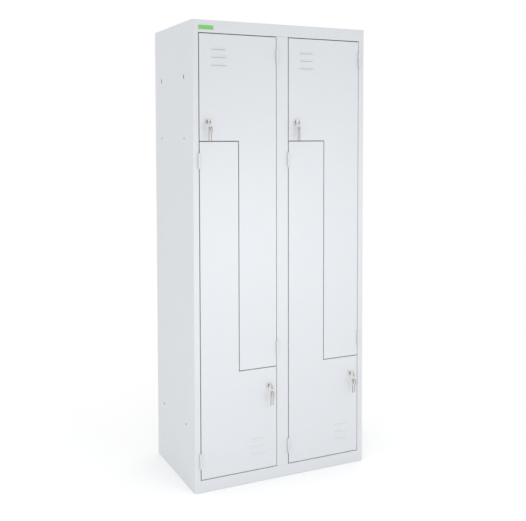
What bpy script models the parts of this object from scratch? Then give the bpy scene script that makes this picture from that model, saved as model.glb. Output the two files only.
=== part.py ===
"""A steel locker whose two columns are each shared by an upper and a lower door.

The two doors of a column are shaped like an L and interlock, so that the joint between them runs like a Z.
The origin is on the floor under the middle of the cabinet.  The front faces -Y, X runs to the right when
the cabinet is seen from the front, and Z is up.  Every length is in metres.
"""

import math

import bmesh
import bpy
from mathutils import Euler, Matrix, Vector

# Clearances
touch_gap = 0.0003
cut_overrun = 0.0010

# Cabinet
width = 0.7600
depth = 0.4600
height = 1.8300
sheet = 0.0008
fold_inner_radius = 0.0012
side_stile = 0.0243
centre_stile = 0.0510
rail = 0.0480
stile_lip = 0.0160
back_flange = 0.0150
foot_return = 0.0200
back_panel_inset = 0.0005
partition_flange = 0.0150
divider_flange = 0.0120
brace_web = 0.0600
brace_flange = 0.0120

# Shelves and the step of the Z: the step is the middle of the gap between an upper and a lower door
step_from_end = 0.4610
shelf_setback = 0.0190
shelf_edge = 0.0250
shelf_return = 0.0080
rivet_above_step = 0.0110

# Marks on the side panels
front_mark_column = 0.0985
rear_mark_column = 0.3745
slot_height_on_panel = 1.6200
slot_width = 0.0070
slot_length = 0.0160
link_hole_height = 0.2450
link_hole_radius = 0.0045

# Countersunk rivets, flush with the panels that carry the shelves
rivet_radius = 0.0040

# Coat hooks
hook_strip = 0.0030
hook_strip_width = 0.0200
hook_fold_radius = 0.0060
hook_strap_half = 0.0200
hook_drop = 0.0450
hook_reach = 0.0250
hook_tip_rise = 0.0180

# Label plate
label_width = 0.0610
label_height = 0.0155
label_thickness = 0.0008
label_from_side = 0.0245
label_from_top = 0.0210

# Doors
door_gap = 0.0032
door_depth = 0.0160
door_return = 0.0100
stiffener_web = 0.0400
stiffener_flange = 0.0120
stiffener_depth = 0.0110
stiffener_end_inset = 0.0600

# Louvres, measured from the door's free corner
louvre_count = 3
louvre_pitch = 0.0303
louvre_length = 0.0660
louvre_height = 0.0100
louvre_depth = 0.0030
louvre_end_slope = 0.0050
louvre_brow_share = 1 / 3
louvre_slot_drop = 0.0006
louvre_from_free_edge = 0.0480
upper_louvre_from_rail = 0.0600
lower_louvre_from_rail = 0.0690

# Hinges: their line stands a little to the frame's side of the gap
hinge_aside = 0.0020
hinge_from_rail = 0.0790
hinge_from_step = 0.0750
hinge_length = 0.0600
hinge_radius = 0.0045
hinge_bore_radius = 0.0025
hinge_cap = 0.0030
hinge_leaf = 0.0008
hinge_leaf_reach = 0.0140
hinge_leaf_root = 0.0007

# Cam locks
lock_from_free_edge = 0.0340
lock_from_step = 0.0745
bezel_radius = 0.0100
bezel_thickness = 0.0025
bezel_chamfer = 0.0008
lock_body_radius = 0.0080
lock_body_reach = 0.0285
nut_flats_radius = 0.0110
nut_thickness = 0.0040
plug_radius = 0.0050
plug_proud = 0.0006
plug_tail_radius = 0.0042
plug_head_radius = 0.0048
plug_head_thickness = 0.0015
cam_clearance = 0.0015
cam_thickness = 0.0020
cam_hub_radius = 0.0080
cam_crank_start = 0.0100
cam_crank_end = 0.0240
cam_waist_half = 0.0070
cam_reach = 0.0460
cam_tip_half = 0.0055

# Keys
key_thickness = 0.0020
key_blade_width = 0.0070
key_blade_length = 0.0315
key_bow_length = 0.0260
key_bow_width = 0.0200
key_bow_corner = 0.0080
key_tip = 0.0020
key_hole_radius = 0.0035
key_hole_from_end = 0.0055
key_notch_depths = (0.0010, 0.0016, 0.0007, 0.0013)
key_notch_width = 0.0030
key_notch_pitch = 0.0060
key_notch_first = 0.0035
keyway_slack = 0.0006
key_end_slack = 0.0003

# Key rings
ring_radius = 0.0100
ring_wire_radius = 0.0008
spare_key_offset = 0.0040
spare_key_lift = 0.0012
spare_key_turns = (math.radians(-20), math.radians(8))
ring_turn_on_key = math.radians(45)
ring_centring = 0.0003

# How finely round pieces are drawn, and the angle up to which their faces look smooth
smooth_angle = math.radians(35)
fold_steps = 2
hinge_sides = 12
rivet_sides = 12
hole_sides = 12
lock_sides = 16
nut_sides = 12
bow_corner_steps = 4
cam_hub_steps = 5
ring_steps = 24
wire_sides = 6

# Places that follow from the sizes
front = -depth / 2
back_inside = depth / 2 - sheet - touch_gap
flange_inside = back_inside - sheet - fold_inner_radius
roof_inside = height - sheet
under_roof = roof_inside - touch_gap
side_inside = width / 2 - sheet - touch_gap
door_bottom = rail
door_top = height - rail
lower_step = step_from_end
upper_step = height - step_from_end
shelf_front = front + shelf_setback
mark_columns = (front + front_mark_column, front + rear_mark_column)
hinge_stand_off = hinge_radius + touch_gap
hinge_line = front - hinge_stand_off
bezel_front = -touch_gap - bezel_thickness
plug_front = bezel_front - plug_proud
cam_tip_front = stile_lip + cam_clearance
cam_hub_front = lock_body_reach + cam_clearance
plug_shoulder = cam_hub_front - touch_gap
plug_head_front = cam_hub_front + cam_thickness + touch_gap
key_length = key_bow_length + key_blade_length
keyway_end = lock_body_reach - sheet - plug_proud
key_tip_place = keyway_end - key_end_slack
key_hole_place = key_tip_place - key_length + key_hole_from_end


def opening(column):
    """Left and right edge of a column's door opening; the column is -1 or 1."""
    inner = centre_stile / 2
    outer = width / 2 - side_stile
    return (-outer, -inner) if column < 0 else (inner, outer)


def opening_middle(column):
    """Where the step of the Z stands."""
    left, right = opening(column)
    return (left + right) / 2


def shelf_top(step):
    """The rivets sit in the middle of a shelf's folded edge."""
    return step + rivet_above_step + shelf_edge / 2


# Shape helpers

def body(rings, closed=False):
    """Joins rings of points into one closed surface.

    Each ring meets the next one.  The first and last ring are filled, or meet each other in a closed body,
    such as a tube or a hoop.
    """
    shell = bmesh.new()
    loops = [[shell.verts.new(point) for point in ring] for ring in rings]
    pairs = list(zip(loops, loops[1:]))
    if closed:
        pairs.append((loops[-1], loops[0]))
    else:
        shell.faces.new(loops[0])
        shell.faces.new(loops[-1])
    for near, far in pairs:
        for index, corner in enumerate(near):
            following = (index + 1) % len(near)
            shell.faces.new((corner, near[following], far[following], far[index]))
    bmesh.ops.recalc_face_normals(shell, faces=shell.faces)
    mesh = bpy.data.meshes.new("shape")
    shell.to_mesh(mesh)
    shell.free()
    return mesh


def in_space(axis, point, place):
    """An outline's point (first, second) at a place along the axis that the outline faces."""
    first, second = point
    if axis == "X":
        return (place, first, second)
    if axis == "Y":
        return (first, place, second)
    return (first, second, place)


def prism(outline, axis, low, high):
    """A flat outline drawn out along an axis."""
    return body([[in_space(axis, point, place) for point in outline] for place in (low, high)])


def box(low, high):
    outline = [(low[0], low[1]), (high[0], low[1]), (high[0], high[1]), (low[0], high[1])]
    return prism(outline, "Z", low[2], high[2])


def circle(radius, sides, centre=(0.0, 0.0)):
    """Points of a circle, set so that the middle of a side faces the first direction."""
    turns = [2 * math.pi * (index + 0.5) / sides for index in range(sides)]
    return [(centre[0] + radius * math.cos(turn), centre[1] + radius * math.sin(turn)) for turn in turns]


def polygon_over(radius, sides):
    """Corner radius of a polygon that clears a round piece of this radius by the touching gap."""
    return (radius + touch_gap) / math.cos(math.pi / sides)


def turned(profile, axis, sides, centre=(0.0, 0.0), closed=False):
    """A turned piece from (radius, place along the axis) pairs; a closed one has a bore."""
    rings = []
    for radius, place in profile:
        rings.append([in_space(axis, point, place) for point in circle(radius, sides, centre)])
    return body(rings, closed)


def folded(corners, side, inner_radius=None, thickness=None):
    """Closed outline of a sheet folded at each corner of a line.

    The corners lie on one face of the sheet.  The other face lies one thickness away, to the left of the
    direction of travel where side is 1 and to its right where side is -1.
    """
    inner = fold_inner_radius if inner_radius is None else inner_radius
    thick = sheet if thickness is None else thickness
    line = [Vector(corner) for corner in corners]
    given_face = []
    other_face = []
    for index, corner in enumerate(line):
        before = (corner - line[index - 1]).normalized() if index > 0 else None
        after = (line[index + 1] - corner).normalized() if index < len(line) - 1 else None
        if before is None or after is None:
            heading = after or before
            across = Vector((-heading.y, heading.x)) * side * thick
            given_face.append(corner)
            other_face.append(corner + across)
            continue
        turn = math.atan2(before.x * after.y - before.y * after.x, before.dot(after))
        toward_sheet = turn * side > 0
        given_radius = inner + thick if toward_sheet else inner
        other_radius = inner if toward_sheet else inner + thick
        sense = 1 if turn > 0 else -1
        start = corner - before * given_radius * math.tan(abs(turn) / 2)
        centre = start + Vector((-before.y, before.x)) * sense * given_radius
        outward = (start - centre).normalized()
        for step in range(fold_steps + 1):
            spoke = Matrix.Rotation(turn * step / fold_steps, 2) @ outward
            given_face.append(centre + spoke * given_radius)
            other_face.append(centre + spoke * other_radius)
    return [tuple(point) for point in given_face + other_face[::-1]]


def inset(outline, distance):
    """An outline that runs counter-clockwise, moved inward by the same distance on every side."""
    shifted = []
    points = [Vector(point) for point in outline]
    for index, corner in enumerate(points):
        before = (corner - points[index - 1]).normalized()
        after = (points[(index + 1) % len(points)] - corner).normalized()
        inward_before = Vector((-before.y, before.x))
        inward_after = Vector((-after.y, after.x))
        bisector = inward_before + inward_after
        shifted.append(tuple(corner + bisector * distance * 2 / bisector.length_squared))
    return shifted


def tray(outline, edge, edge_return):
    """A sheet with its edges folded to the back and then inward; its front lies on y = 0."""
    rings = [
        (outline, 0.0),
        (outline, edge),
        (inset(outline, edge_return), edge),
        (inset(outline, edge_return), edge - sheet),
        (inset(outline, sheet), edge - sheet),
        (inset(outline, sheet), sheet),
    ]
    return body([[in_space("Y", point, place) for point in ring] for ring, place in rings])


def moved(mesh, place=(0.0, 0.0, 0.0), turn=(0.0, 0.0, 0.0)):
    """The mesh itself, turned about the origin and then shifted."""
    mesh.transform(Matrix.Translation(place) @ Euler(turn).to_matrix().to_4x4())
    return mesh


def worked(mesh, cuts=(), additions=()):
    """The mesh with other solids joined to it first and then cut out of it."""
    holder = bpy.data.objects.new("blank", mesh)
    bpy.context.collection.objects.link(holder)
    helpers = []
    for operation, others in (("UNION", additions), ("DIFFERENCE", cuts)):
        for other in others:
            helper = bpy.data.objects.new("cutter", other)
            bpy.context.collection.objects.link(helper)
            helpers.append(helper)
            step = holder.modifiers.new(operation.lower(), "BOOLEAN")
            step.operation = operation
            step.object = helper
    evaluated = holder.evaluated_get(bpy.context.evaluated_depsgraph_get())
    result = bpy.data.meshes.new_from_object(evaluated)
    for helper in helpers + [holder]:
        bpy.data.objects.remove(helper)
    return result


def material(name, colour, roughness, metallic):
    finish = bpy.data.materials.new(name)
    finish.use_nodes = True
    shader = finish.node_tree.nodes["Principled BSDF"]
    shader.inputs["Base Color"].default_value = (*colour, 1.0)
    shader.inputs["Roughness"].default_value = roughness
    shader.inputs["Metallic"].default_value = metallic
    return finish


def marker(name, place, holder=None):
    """An empty on a joint's axis, placed from its holder's origin."""
    empty = bpy.data.objects.new(name, None)
    empty.location = place
    empty.parent = holder
    bpy.context.collection.objects.link(empty)
    return empty


def piece(name, mesh, finish, holder=None, place=(0.0, 0.0, 0.0), turn=(0.0, 0.0, 0.0), smooth=False):
    """One named sub-part with its own material, placed from its holder's origin."""
    colour, roughness, metallic = finish
    item = bpy.data.objects.new(name, mesh)
    mesh.name = name
    mesh.materials.clear()
    mesh.materials.append(material(name, colour, roughness, metallic))
    item.location = place
    item.rotation_euler = turn
    item.parent = holder
    if smooth:
        mesh.shade_smooth()
        mesh.set_sharp_from_angle(angle=smooth_angle)
    bpy.context.collection.objects.link(item)
    return item


# Finishes: linear colour, roughness, metallic

cabinet_paint = ((0.73, 0.76, 0.79), 0.45, 0.0)
door_paint = ((0.76, 0.79, 0.82), 0.42, 0.0)
inside_paint = ((0.70, 0.73, 0.76), 0.50, 0.0)
zinc = ((0.55, 0.56, 0.57), 0.38, 1.0)
nickel = ((0.66, 0.65, 0.62), 0.24, 1.0)
key_brass = ((0.46, 0.40, 0.32), 0.36, 1.0)
label_green = ((0.10, 0.46, 0.06), 0.45, 0.0)


# Cabinet

def rivet_place(column, step):
    """Outer face of the panel that a shelf is riveted to, height, and direction toward the shelf.

    Left of the middle the upper shelf hangs on the side panel and the lower one on the partition, and right
    of it the other way round.
    """
    on_side_panel = (column < 0) == (step == upper_step)
    inward = 1 if step == upper_step else -1
    face = column * width / 2 if on_side_panel else -inward * sheet / 2
    return face, step + rivet_above_step, inward


def rivet_holes():
    """Cutters through the panels at every rivet."""
    cutters = []
    radius = polygon_over(rivet_radius, rivet_sides)
    for column in (-1, 1):
        for step in (lower_step, upper_step):
            face, level, inward = rivet_place(column, step)
            ends = (face - inward * cut_overrun, face + inward * (sheet + cut_overrun))
            for mark in mark_columns:
                outline = circle(radius, rivet_sides, (mark, level))
                cutters.append(prism(outline, "X", min(ends), max(ends)))
    return cutters


def side_panel(side):
    """Sheet with the front stile, its lip and the back flange folded from it; side is -1 or 1."""
    outer = side * width / 2
    corners = [
        (outer - side * back_flange, back_inside),
        (outer, back_inside),
        (outer, front),
        (outer - side * side_stile, front),
        (outer - side * side_stile, front + stile_lip),
    ]
    panel = prism(folded(corners, -side), "Z", 0.0, under_roof)
    near = outer - cut_overrun - sheet
    far = outer + cut_overrun + sheet
    cutters = rivet_holes()
    for column in mark_columns:
        slot_low = (near, column - slot_width / 2, slot_height_on_panel - slot_length / 2)
        slot_high = (far, column + slot_width / 2, slot_height_on_panel + slot_length / 2)
        cutters.append(box(slot_low, slot_high))
        link_hole = circle(link_hole_radius, hole_sides, (column, link_hole_height))
        cutters.append(prism(link_hole, "X", near, far))
    return worked(panel, cuts=cutters)


def top_panel():
    """Roof with the front rail, its lip and the coat hooks of the two upper compartments.

    The rail and the back flange stop short of the side panels.
    """
    corners = [
        (back_inside, height - back_flange),
        (back_inside, height),
        (front, height),
        (front, height - rail),
        (front + stile_lip, height - rail),
    ]
    roof = prism(folded(corners, 1), "X", -width / 2, width / 2)
    notches = []
    for side in (-1, 1):
        ends = (side * (width / 2 + cut_overrun), side * (width / 2 - side_stile - touch_gap))
        low = (min(ends), front - cut_overrun, height - rail - cut_overrun)
        high = (max(ends), back_inside + cut_overrun, roof_inside - touch_gap / 2)
        notches.append(box(low, high))
    hooks = []
    for column in (-1, 1):
        right = opening(column)[1]
        hooks.append(coat_hook((opening_middle(column) + right) / 2, roof_inside))
    return worked(roof, cuts=notches, additions=hooks)


def base_panel():
    """Raised floor with the front plinth and turned-in feet."""
    corners = [
        (front + foot_return, 0.0),
        (front, 0.0),
        (front, rail),
        (flange_inside, rail),
        (flange_inside, 0.0),
        (flange_inside - foot_return, 0.0),
    ]
    floor = prism(folded(corners, -1), "X", -side_inside, side_inside)
    notches = []
    for side in (-1, 1):
        ends = (side * (width / 2 + cut_overrun), side * (width / 2 - side_stile - touch_gap))
        low = (min(ends), front - cut_overrun, -cut_overrun)
        high = (max(ends), front + stile_lip + touch_gap, rail + cut_overrun)
        notches.append(box(low, high))
    return worked(floor, cuts=notches)


def base_brace():
    """Channel that carries the middle of the floor; its web stands on the ground."""
    top = rail - 2 * sheet - touch_gap
    edge = brace_web / 2
    corners = [
        (-edge - brace_flange, top),
        (-edge, top),
        (-edge, 0.0),
        (edge, 0.0),
        (edge, top),
        (edge + brace_flange, top),
    ]
    near = front + foot_return + touch_gap
    far = flange_inside - foot_return - touch_gap
    return prism(folded(corners, 1), "Y", near, far)


def back_panel():
    edge = width / 2 - back_panel_inset
    return box((-edge, depth / 2 - sheet, 0.0), (edge, depth / 2, height))


def centre_post():
    """Hat section between the columns, whose lips the cams of the inner doors catch."""
    edge = centre_stile / 2
    corners = [(edge, front + stile_lip), (edge, front), (-edge, front), (-edge, front + stile_lip)]
    return prism(folded(corners, -1), "Z", rail + touch_gap, height - rail - touch_gap)


def upright_wall(middle, near, flange, low, high):
    """An upright sheet with both ends folded toward +X; the near end faces the doors."""
    face = middle - sheet / 2
    corners = [(face + flange, near), (face, near), (face, back_inside), (face + flange, back_inside)]
    return prism(folded(corners, -1), "Z", low, high)


def centre_partition():
    """Wall between the columns, notched at the top for the lip of the front rail."""
    wall = upright_wall(0.0, front + sheet + touch_gap, partition_flange, rail + touch_gap, under_roof)
    low = (-partition_flange, front - cut_overrun, height - rail - touch_gap)
    high = (2 * partition_flange, front + stile_lip + touch_gap, height + cut_overrun)
    roof_flange_low = (-partition_flange, flange_inside, height - back_flange - touch_gap)
    roof_flange_high = (2 * partition_flange, back_inside + cut_overrun, height + cut_overrun)
    notches = [box(low, high), box(roof_flange_low, roof_flange_high)]
    return worked(wall, cuts=notches + rivet_holes())


def divider(column):
    """Upright step of the Z: it stands on the lower shelf and ends level with the upper one."""
    middle = opening_middle(column)
    low = shelf_top(lower_step) + touch_gap
    return upright_wall(middle, shelf_front, divider_flange, low, shelf_top(upper_step))


def shelf(column, step):
    """Level step of the Z: a sheet with its edges folded down and in, and the two rivets that hold it.

    The upper shelves also carry the coat hooks of the lower compartments.
    """
    wall = opening_middle(column) - sheet / 2
    if step == upper_step:
        left = -side_inside if column < 0 else sheet / 2 + touch_gap
        right = wall - touch_gap
    else:
        left = wall
        right = -sheet / 2 - touch_gap if column < 0 else side_inside
    outline = [(left, shelf_front), (right, shelf_front), (right, flange_inside), (left, flange_inside)]
    pan = moved(tray(outline, shelf_edge, shelf_return), turn=(-math.pi / 2, 0.0, 0.0))
    fixed = [flush_rivet(*rivet_place(column, step), mark) for mark in mark_columns]
    if step == upper_step:
        middle = (opening(column)[0] + opening_middle(column)) / 2
        fixed.append(coat_hook(middle, shelf_top(step) - sheet))
    return worked(moved(pan, place=(0.0, 0.0, shelf_top(step))), additions=fixed)


def coat_hook(middle, ceiling):
    """A strip folded into two hooks below a strap, which is welded into the ceiling's sheet."""
    top = ceiling + sheet / 2
    outline = folded(
        [
            (middle - hook_strap_half - hook_reach, top - hook_drop + hook_tip_rise),
            (middle - hook_strap_half - hook_reach, top - hook_drop),
            (middle - hook_strap_half, top - hook_drop),
            (middle - hook_strap_half, top),
            (middle + hook_strap_half, top),
            (middle + hook_strap_half, top - hook_drop),
            (middle + hook_strap_half + hook_reach, top - hook_drop),
            (middle + hook_strap_half + hook_reach, top - hook_drop + hook_tip_rise),
        ],
        -1,
        hook_fold_radius,
        hook_strip,
    )
    return prism(outline, "Y", -hook_strip_width / 2, hook_strip_width / 2)


def flush_rivet(face, level, inward, mark):
    """A flush rivet from a panel's outer face, through its hole, into the shelf's folded edge."""
    ends = (face, face + inward * (sheet + touch_gap + sheet / 2))
    return prism(circle(rivet_radius, rivet_sides, (mark, level)), "X", min(ends), max(ends))


def label_plate():
    left = -width / 2 + label_from_side
    top = height - label_from_top
    near = front - touch_gap - label_thickness
    return box((left, near, top - label_height), (left + label_width, front - touch_gap, top))


def build_cabinet():
    piece("side_panel_left", side_panel(-1), cabinet_paint)
    piece("side_panel_right", side_panel(1), cabinet_paint)
    piece("top_panel", top_panel(), cabinet_paint)
    piece("base_panel", base_panel(), cabinet_paint)
    piece("base_brace", base_brace(), inside_paint)
    piece("back_panel", back_panel(), cabinet_paint)
    piece("centre_post", centre_post(), cabinet_paint)
    piece("centre_partition", centre_partition(), inside_paint)
    for column, side in ((-1, "left"), (1, "right")):
        piece("divider_" + side, divider(column), inside_paint)
        piece("upper_shelf_" + side, shelf(column, upper_step), inside_paint)
        piece("lower_shelf_" + side, shelf(column, lower_step), inside_paint)
    piece("label_plate", label_plate(), label_green)


# Doors

def door_outline(column, upper):
    """The L of a door, counter-clockwise; a lower door is the upper one turned by half a turn."""
    left, right = opening(column)
    middle = opening_middle(column)
    half = door_gap / 2
    outline = [
        (left + door_gap, upper_step + half),
        (middle + half, upper_step + half),
        (middle + half, lower_step + half),
        (right - door_gap, lower_step + half),
        (right - door_gap, door_top - door_gap),
        (left + door_gap, door_top - door_gap),
    ]
    if upper:
        return outline
    return [(left + right - x, height - z) for x, z in outline]


def hinge_place(column, upper):
    """The hinge line stands in front of the frame's edge on the door's hinge side."""
    left, right = opening(column)
    return right - door_gap / 2 + hinge_aside if upper else left + door_gap / 2 - hinge_aside


def hinge_levels(upper):
    if upper:
        return (lower_step + hinge_from_step, door_top - hinge_from_rail)
    return (door_bottom + hinge_from_rail, upper_step - hinge_from_step)


def lock_place(column, upper):
    left, right = opening(column)
    if upper:
        return left + door_gap / 2 + lock_from_free_edge, upper_step + lock_from_step
    return right - door_gap / 2 - lock_from_free_edge, lower_step - lock_from_step


def louvre_hood(left, lip):
    """Pressed hood on the door's face: flat on the sheet at its top and sides, proud at its open lip."""
    top = lip + louvre_height
    root = sheet / 2
    right = left + louvre_length
    face = [
        (left, root, lip),
        (right, root, lip),
        (right, root, top),
        (left, root, top),
    ]
    edge = [
        (left, 0.0, lip),
        (right, 0.0, lip),
        (right, 0.0, top),
        (left, 0.0, top),
    ]
    brow = [
        (left + louvre_end_slope, -louvre_depth, lip),
        (right - louvre_end_slope, -louvre_depth, lip),
        (right - louvre_end_slope, -louvre_depth, lip + louvre_height * louvre_brow_share),
        (left + louvre_end_slope, -louvre_depth, lip + louvre_height * louvre_brow_share),
    ]
    return body([face, edge, brow])


def louvre_mouth(left, lip):
    """What the hood encloses, opened downward and through the sheet."""
    bottom = lip - louvre_slot_drop
    top = lip + louvre_height - 2 * sheet
    right = left + louvre_length
    brow_top = lip + louvre_height * louvre_brow_share - sheet / 2
    slope = louvre_end_slope + sheet
    behind = [
        (left + 2 * sheet, sheet + cut_overrun, bottom),
        (right - 2 * sheet, sheet + cut_overrun, bottom),
        (right - 2 * sheet, sheet + cut_overrun, top),
        (left + 2 * sheet, sheet + cut_overrun, top),
    ]
    edge = [
        (left + 2 * sheet, 0.0, bottom),
        (right - 2 * sheet, 0.0, bottom),
        (right - 2 * sheet, 0.0, top),
        (left + 2 * sheet, 0.0, top),
    ]
    brow = [
        (left + slope, sheet - louvre_depth, bottom),
        (right - slope, sheet - louvre_depth, bottom),
        (right - slope, sheet - louvre_depth, brow_top),
        (left + slope, sheet - louvre_depth, brow_top),
    ]
    return body([behind, edge, brow])


def louvre_places(column, upper):
    """Left end and lip of each louvre; the hoods of every door open downward."""
    left, right = opening(column)
    places = []
    for index in range(louvre_count):
        if upper:
            start = left + door_gap / 2 + louvre_from_free_edge
            lip = door_top - door_gap / 2 - upper_louvre_from_rail - index * louvre_pitch
        else:
            start = right - door_gap / 2 - louvre_from_free_edge - louvre_length
            lip = door_bottom + door_gap / 2 + lower_louvre_from_rail + index * louvre_pitch
        places.append((start, lip))
    return places


def door_panel(column, upper):
    """L-shaped tray with its louvres, the hole for the lock, the stiffener and the door's hinge halves."""
    skin = tray(door_outline(column, upper), door_depth, door_return)
    hinge_centre = (hinge_place(column, upper), -hinge_stand_off, 0.0)
    door_side = -1 if upper else 1
    welded = [door_stiffener(column, upper)]
    for level in hinge_levels(upper):
        welded.append(moved(door_knuckle(level, door_side), place=hinge_centre))
    lock_hole = circle(polygon_over(lock_body_radius, lock_sides), lock_sides, lock_place(column, upper))
    hoods = [louvre_hood(*place) for place in louvre_places(column, upper)]
    mouths = [louvre_mouth(*place) for place in louvre_places(column, upper)]
    mouths.append(prism(lock_hole, "Y", -cut_overrun, sheet + cut_overrun))
    return worked(skin, cuts=mouths, additions=hoods + welded)


def door_stiffener(column, upper):
    """Hat channel welded inside the skin, along the leg of the L that runs the door's full height."""
    left, right = opening(column)
    centre = ((right if upper else left) + opening_middle(column)) / 2
    edge = stiffener_web / 2
    near = sheet / 2
    corners = [
        (centre - edge - stiffener_flange, near),
        (centre - edge, near),
        (centre - edge, near + stiffener_depth),
        (centre + edge, near + stiffener_depth),
        (centre + edge, near),
        (centre + edge + stiffener_flange, near),
    ]
    low = lower_step if upper else door_bottom
    high = door_top if upper else upper_step
    return prism(folded(corners, 1), "Z", low + stiffener_end_inset, high - stiffener_end_inset)


def hinge_leaf_box(low, high, edges):
    """The leaf that is welded into the gap beside the door, from the knuckle's wall backward."""
    leaf_low = (min(edges), hinge_leaf_root, low)
    leaf_high = (max(edges), hinge_stand_off + hinge_leaf_reach, high)
    return box(leaf_low, leaf_high)


def door_knuckle(level, side):
    """The door's half of a lift-off hinge round the Z axis: a capped tube that sits on the frame's pin.

    The side is 1 where the door lies on the +X side of the hinge, and its leaf is welded to the door's edge.
    """
    low = level + touch_gap / 2
    high = level + hinge_length / 2
    profile = [
        (hinge_bore_radius, high - hinge_cap),
        (hinge_bore_radius, low),
        (hinge_radius, low),
        (hinge_radius, high),
    ]
    door_edge = door_gap / 2 + hinge_aside
    edges = (side * (door_edge + sheet / 2), side * (door_edge - hinge_leaf))
    return worked(turned(profile, "Z", hinge_sides), additions=[hinge_leaf_box(low, high, edges)])


def frame_knuckle(level, side):
    """The frame's half of a lift-off hinge round the Z axis: a solid knuckle with the pin standing on it.

    The side is 1 where the frame lies on the +X side of the hinge.
    """
    low = level - hinge_length / 2
    high = level - touch_gap / 2
    pin_radius = hinge_bore_radius * math.cos(math.pi / hinge_sides) - touch_gap
    profile = [
        (hinge_radius, low),
        (hinge_radius, high),
        (pin_radius, high),
        (pin_radius, level + hinge_length / 2 - hinge_cap - touch_gap),
    ]
    far = door_gap / 2 - hinge_aside - touch_gap
    edges = (side * far, side * (far - hinge_leaf))
    return worked(turned(profile, "Z", hinge_sides), additions=[hinge_leaf_box(low, high, edges)])


# Locks: these shapes are drawn round the lock's axis, with y = 0 on the door's face

def lock_barrel():
    profile = [
        (polygon_over(plug_radius, lock_sides), bezel_front),
        (bezel_radius - bezel_chamfer, bezel_front),
        (bezel_radius, bezel_front + bezel_chamfer),
        (bezel_radius, -touch_gap),
        (lock_body_radius, -touch_gap),
        (lock_body_radius, lock_body_reach),
        (polygon_over(plug_radius, lock_sides), lock_body_reach),
    ]
    return turned(profile, "Y", lock_sides, closed=True)


def lock_nut():
    """Six flats outside and a round hole inside, both drawn with the same number of points."""
    near = sheet + touch_gap
    far = near + nut_thickness
    hole = circle(polygon_over(lock_body_radius, nut_sides), nut_sides)
    hexagon = []
    for x, z in circle(nut_flats_radius, nut_sides):
        angle = math.atan2(z, x)
        within_side = angle % (math.pi / 3) - math.pi / 6
        reach = nut_flats_radius / math.cos(within_side)
        hexagon.append((reach * math.cos(angle), reach * math.sin(angle)))
    rings = [(hole, near), (hexagon, near), (hexagon, far), (hole, far)]
    return body([[in_space("Y", point, place) for point in ring] for ring, place in rings], closed=True)


def square_ring(half, place):
    """A square drawn with as many points as the lock's round pieces."""
    ring = []
    for x, z in circle(half, lock_sides):
        stretch = half / max(abs(x), abs(z))
        ring.append((x * stretch, place, z * stretch))
    return ring


def tail_half():
    """Half the width of the square tail that carries the cam."""
    return plug_tail_radius / math.sqrt(2)


def lock_plug():
    """Turning core with its keyway, a square tail for the cam and the tail's riveted head."""
    def round_ring(radius, place):
        return [in_space("Y", point, place) for point in circle(radius, lock_sides)]

    rings = [
        round_ring(plug_radius, plug_front),
        round_ring(plug_radius, plug_shoulder),
        square_ring(tail_half(), plug_shoulder),
        square_ring(tail_half(), plug_head_front),
        round_ring(plug_head_radius, plug_head_front),
        round_ring(plug_head_radius, plug_head_front + plug_head_thickness),
    ]
    half_thick = (key_thickness + keyway_slack) / 2
    half_wide = (key_blade_width + keyway_slack) / 2
    keyway = box((-half_thick, plug_front - cut_overrun, -half_wide), (half_thick, keyway_end, half_wide))
    return worked(body(rings), cuts=[keyway])


def lock_cam(up):
    """Cranked arm on the plug's tail: its hub lies behind the lock's body, its tip behind the frame's lip.

    Unlocked, it points along the door's edge, upward or downward.
    """
    sections = []
    for step in range(cam_hub_steps):
        turn = math.pi / 2 * (step + 0.5) / cam_hub_steps
        along = -cam_hub_radius * math.cos(turn)
        sections.append((along, cam_hub_radius * math.sin(turn), cam_hub_front))
    sections.append((cam_crank_start, cam_hub_radius, cam_hub_front))
    sections.append((cam_crank_end, cam_waist_half, cam_tip_front))
    sections.append((cam_reach, cam_tip_half, cam_tip_front))
    rings = []
    for along, half_wide, near in sections:
        far = near + cam_thickness
        corners = [(-half_wide, near), (half_wide, near), (half_wide, far), (-half_wide, far)]
        rings.append([(x, y, up * along) for x, y in corners])
    half = tail_half() + touch_gap
    low = (-half, cam_hub_front - cut_overrun, -half)
    high = (half, cam_hub_front + cam_thickness + cut_overrun, half)
    return worked(body(rings), cuts=[box(low, high)])


def key_outline():
    """A key hanging from its hole at the origin: (across, up) points, from the bow down to the tip."""
    top = key_hole_from_end
    bow_bottom = top - key_bow_length
    tip = top - key_length
    half_bow = key_bow_width / 2
    half_blade = key_blade_width / 2
    outline = []
    for side_turn, corner_x, corner_z in (
        (0, half_bow - key_bow_corner, top - key_bow_corner),
        (1, -half_bow + key_bow_corner, top - key_bow_corner),
        (2, -half_bow + key_bow_corner, bow_bottom + key_bow_corner),
    ):
        for step in range(bow_corner_steps + 1):
            turn = math.pi / 2 * (side_turn + step / bow_corner_steps)
            x = corner_x + key_bow_corner * math.cos(turn)
            z = corner_z + key_bow_corner * math.sin(turn)
            outline.append((x, z))
    outline.append((-half_blade, bow_bottom))
    outline.append((-half_blade, tip + key_tip))
    outline.append((-half_blade + key_tip, tip))
    outline.append((half_blade - key_tip, tip))
    outline.append((half_blade, tip + key_tip))
    for index, notch in enumerate(key_notch_depths):
        low = tip + key_notch_first + index * key_notch_pitch
        outline.append((half_blade, low))
        outline.append((half_blade - notch, low + key_notch_width / 2))
        outline.append((half_blade, low + key_notch_width))
    outline.append((half_blade, bow_bottom))
    for step in range(bow_corner_steps + 1):
        turn = math.pi / 2 * (3 + step / bow_corner_steps)
        x = half_bow - key_bow_corner + key_bow_corner * math.cos(turn)
        z = bow_bottom + key_bow_corner + key_bow_corner * math.sin(turn)
        outline.append((x, z))
    return outline


def key_blank():
    """A flat key whose bow's hole runs along X through the origin."""
    half = key_thickness / 2
    hole = prism(circle(key_hole_radius, hole_sides), "X", -half - cut_overrun, half + cut_overrun)
    return worked(prism(key_outline(), "X", -half, half), cuts=[hole])


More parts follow.
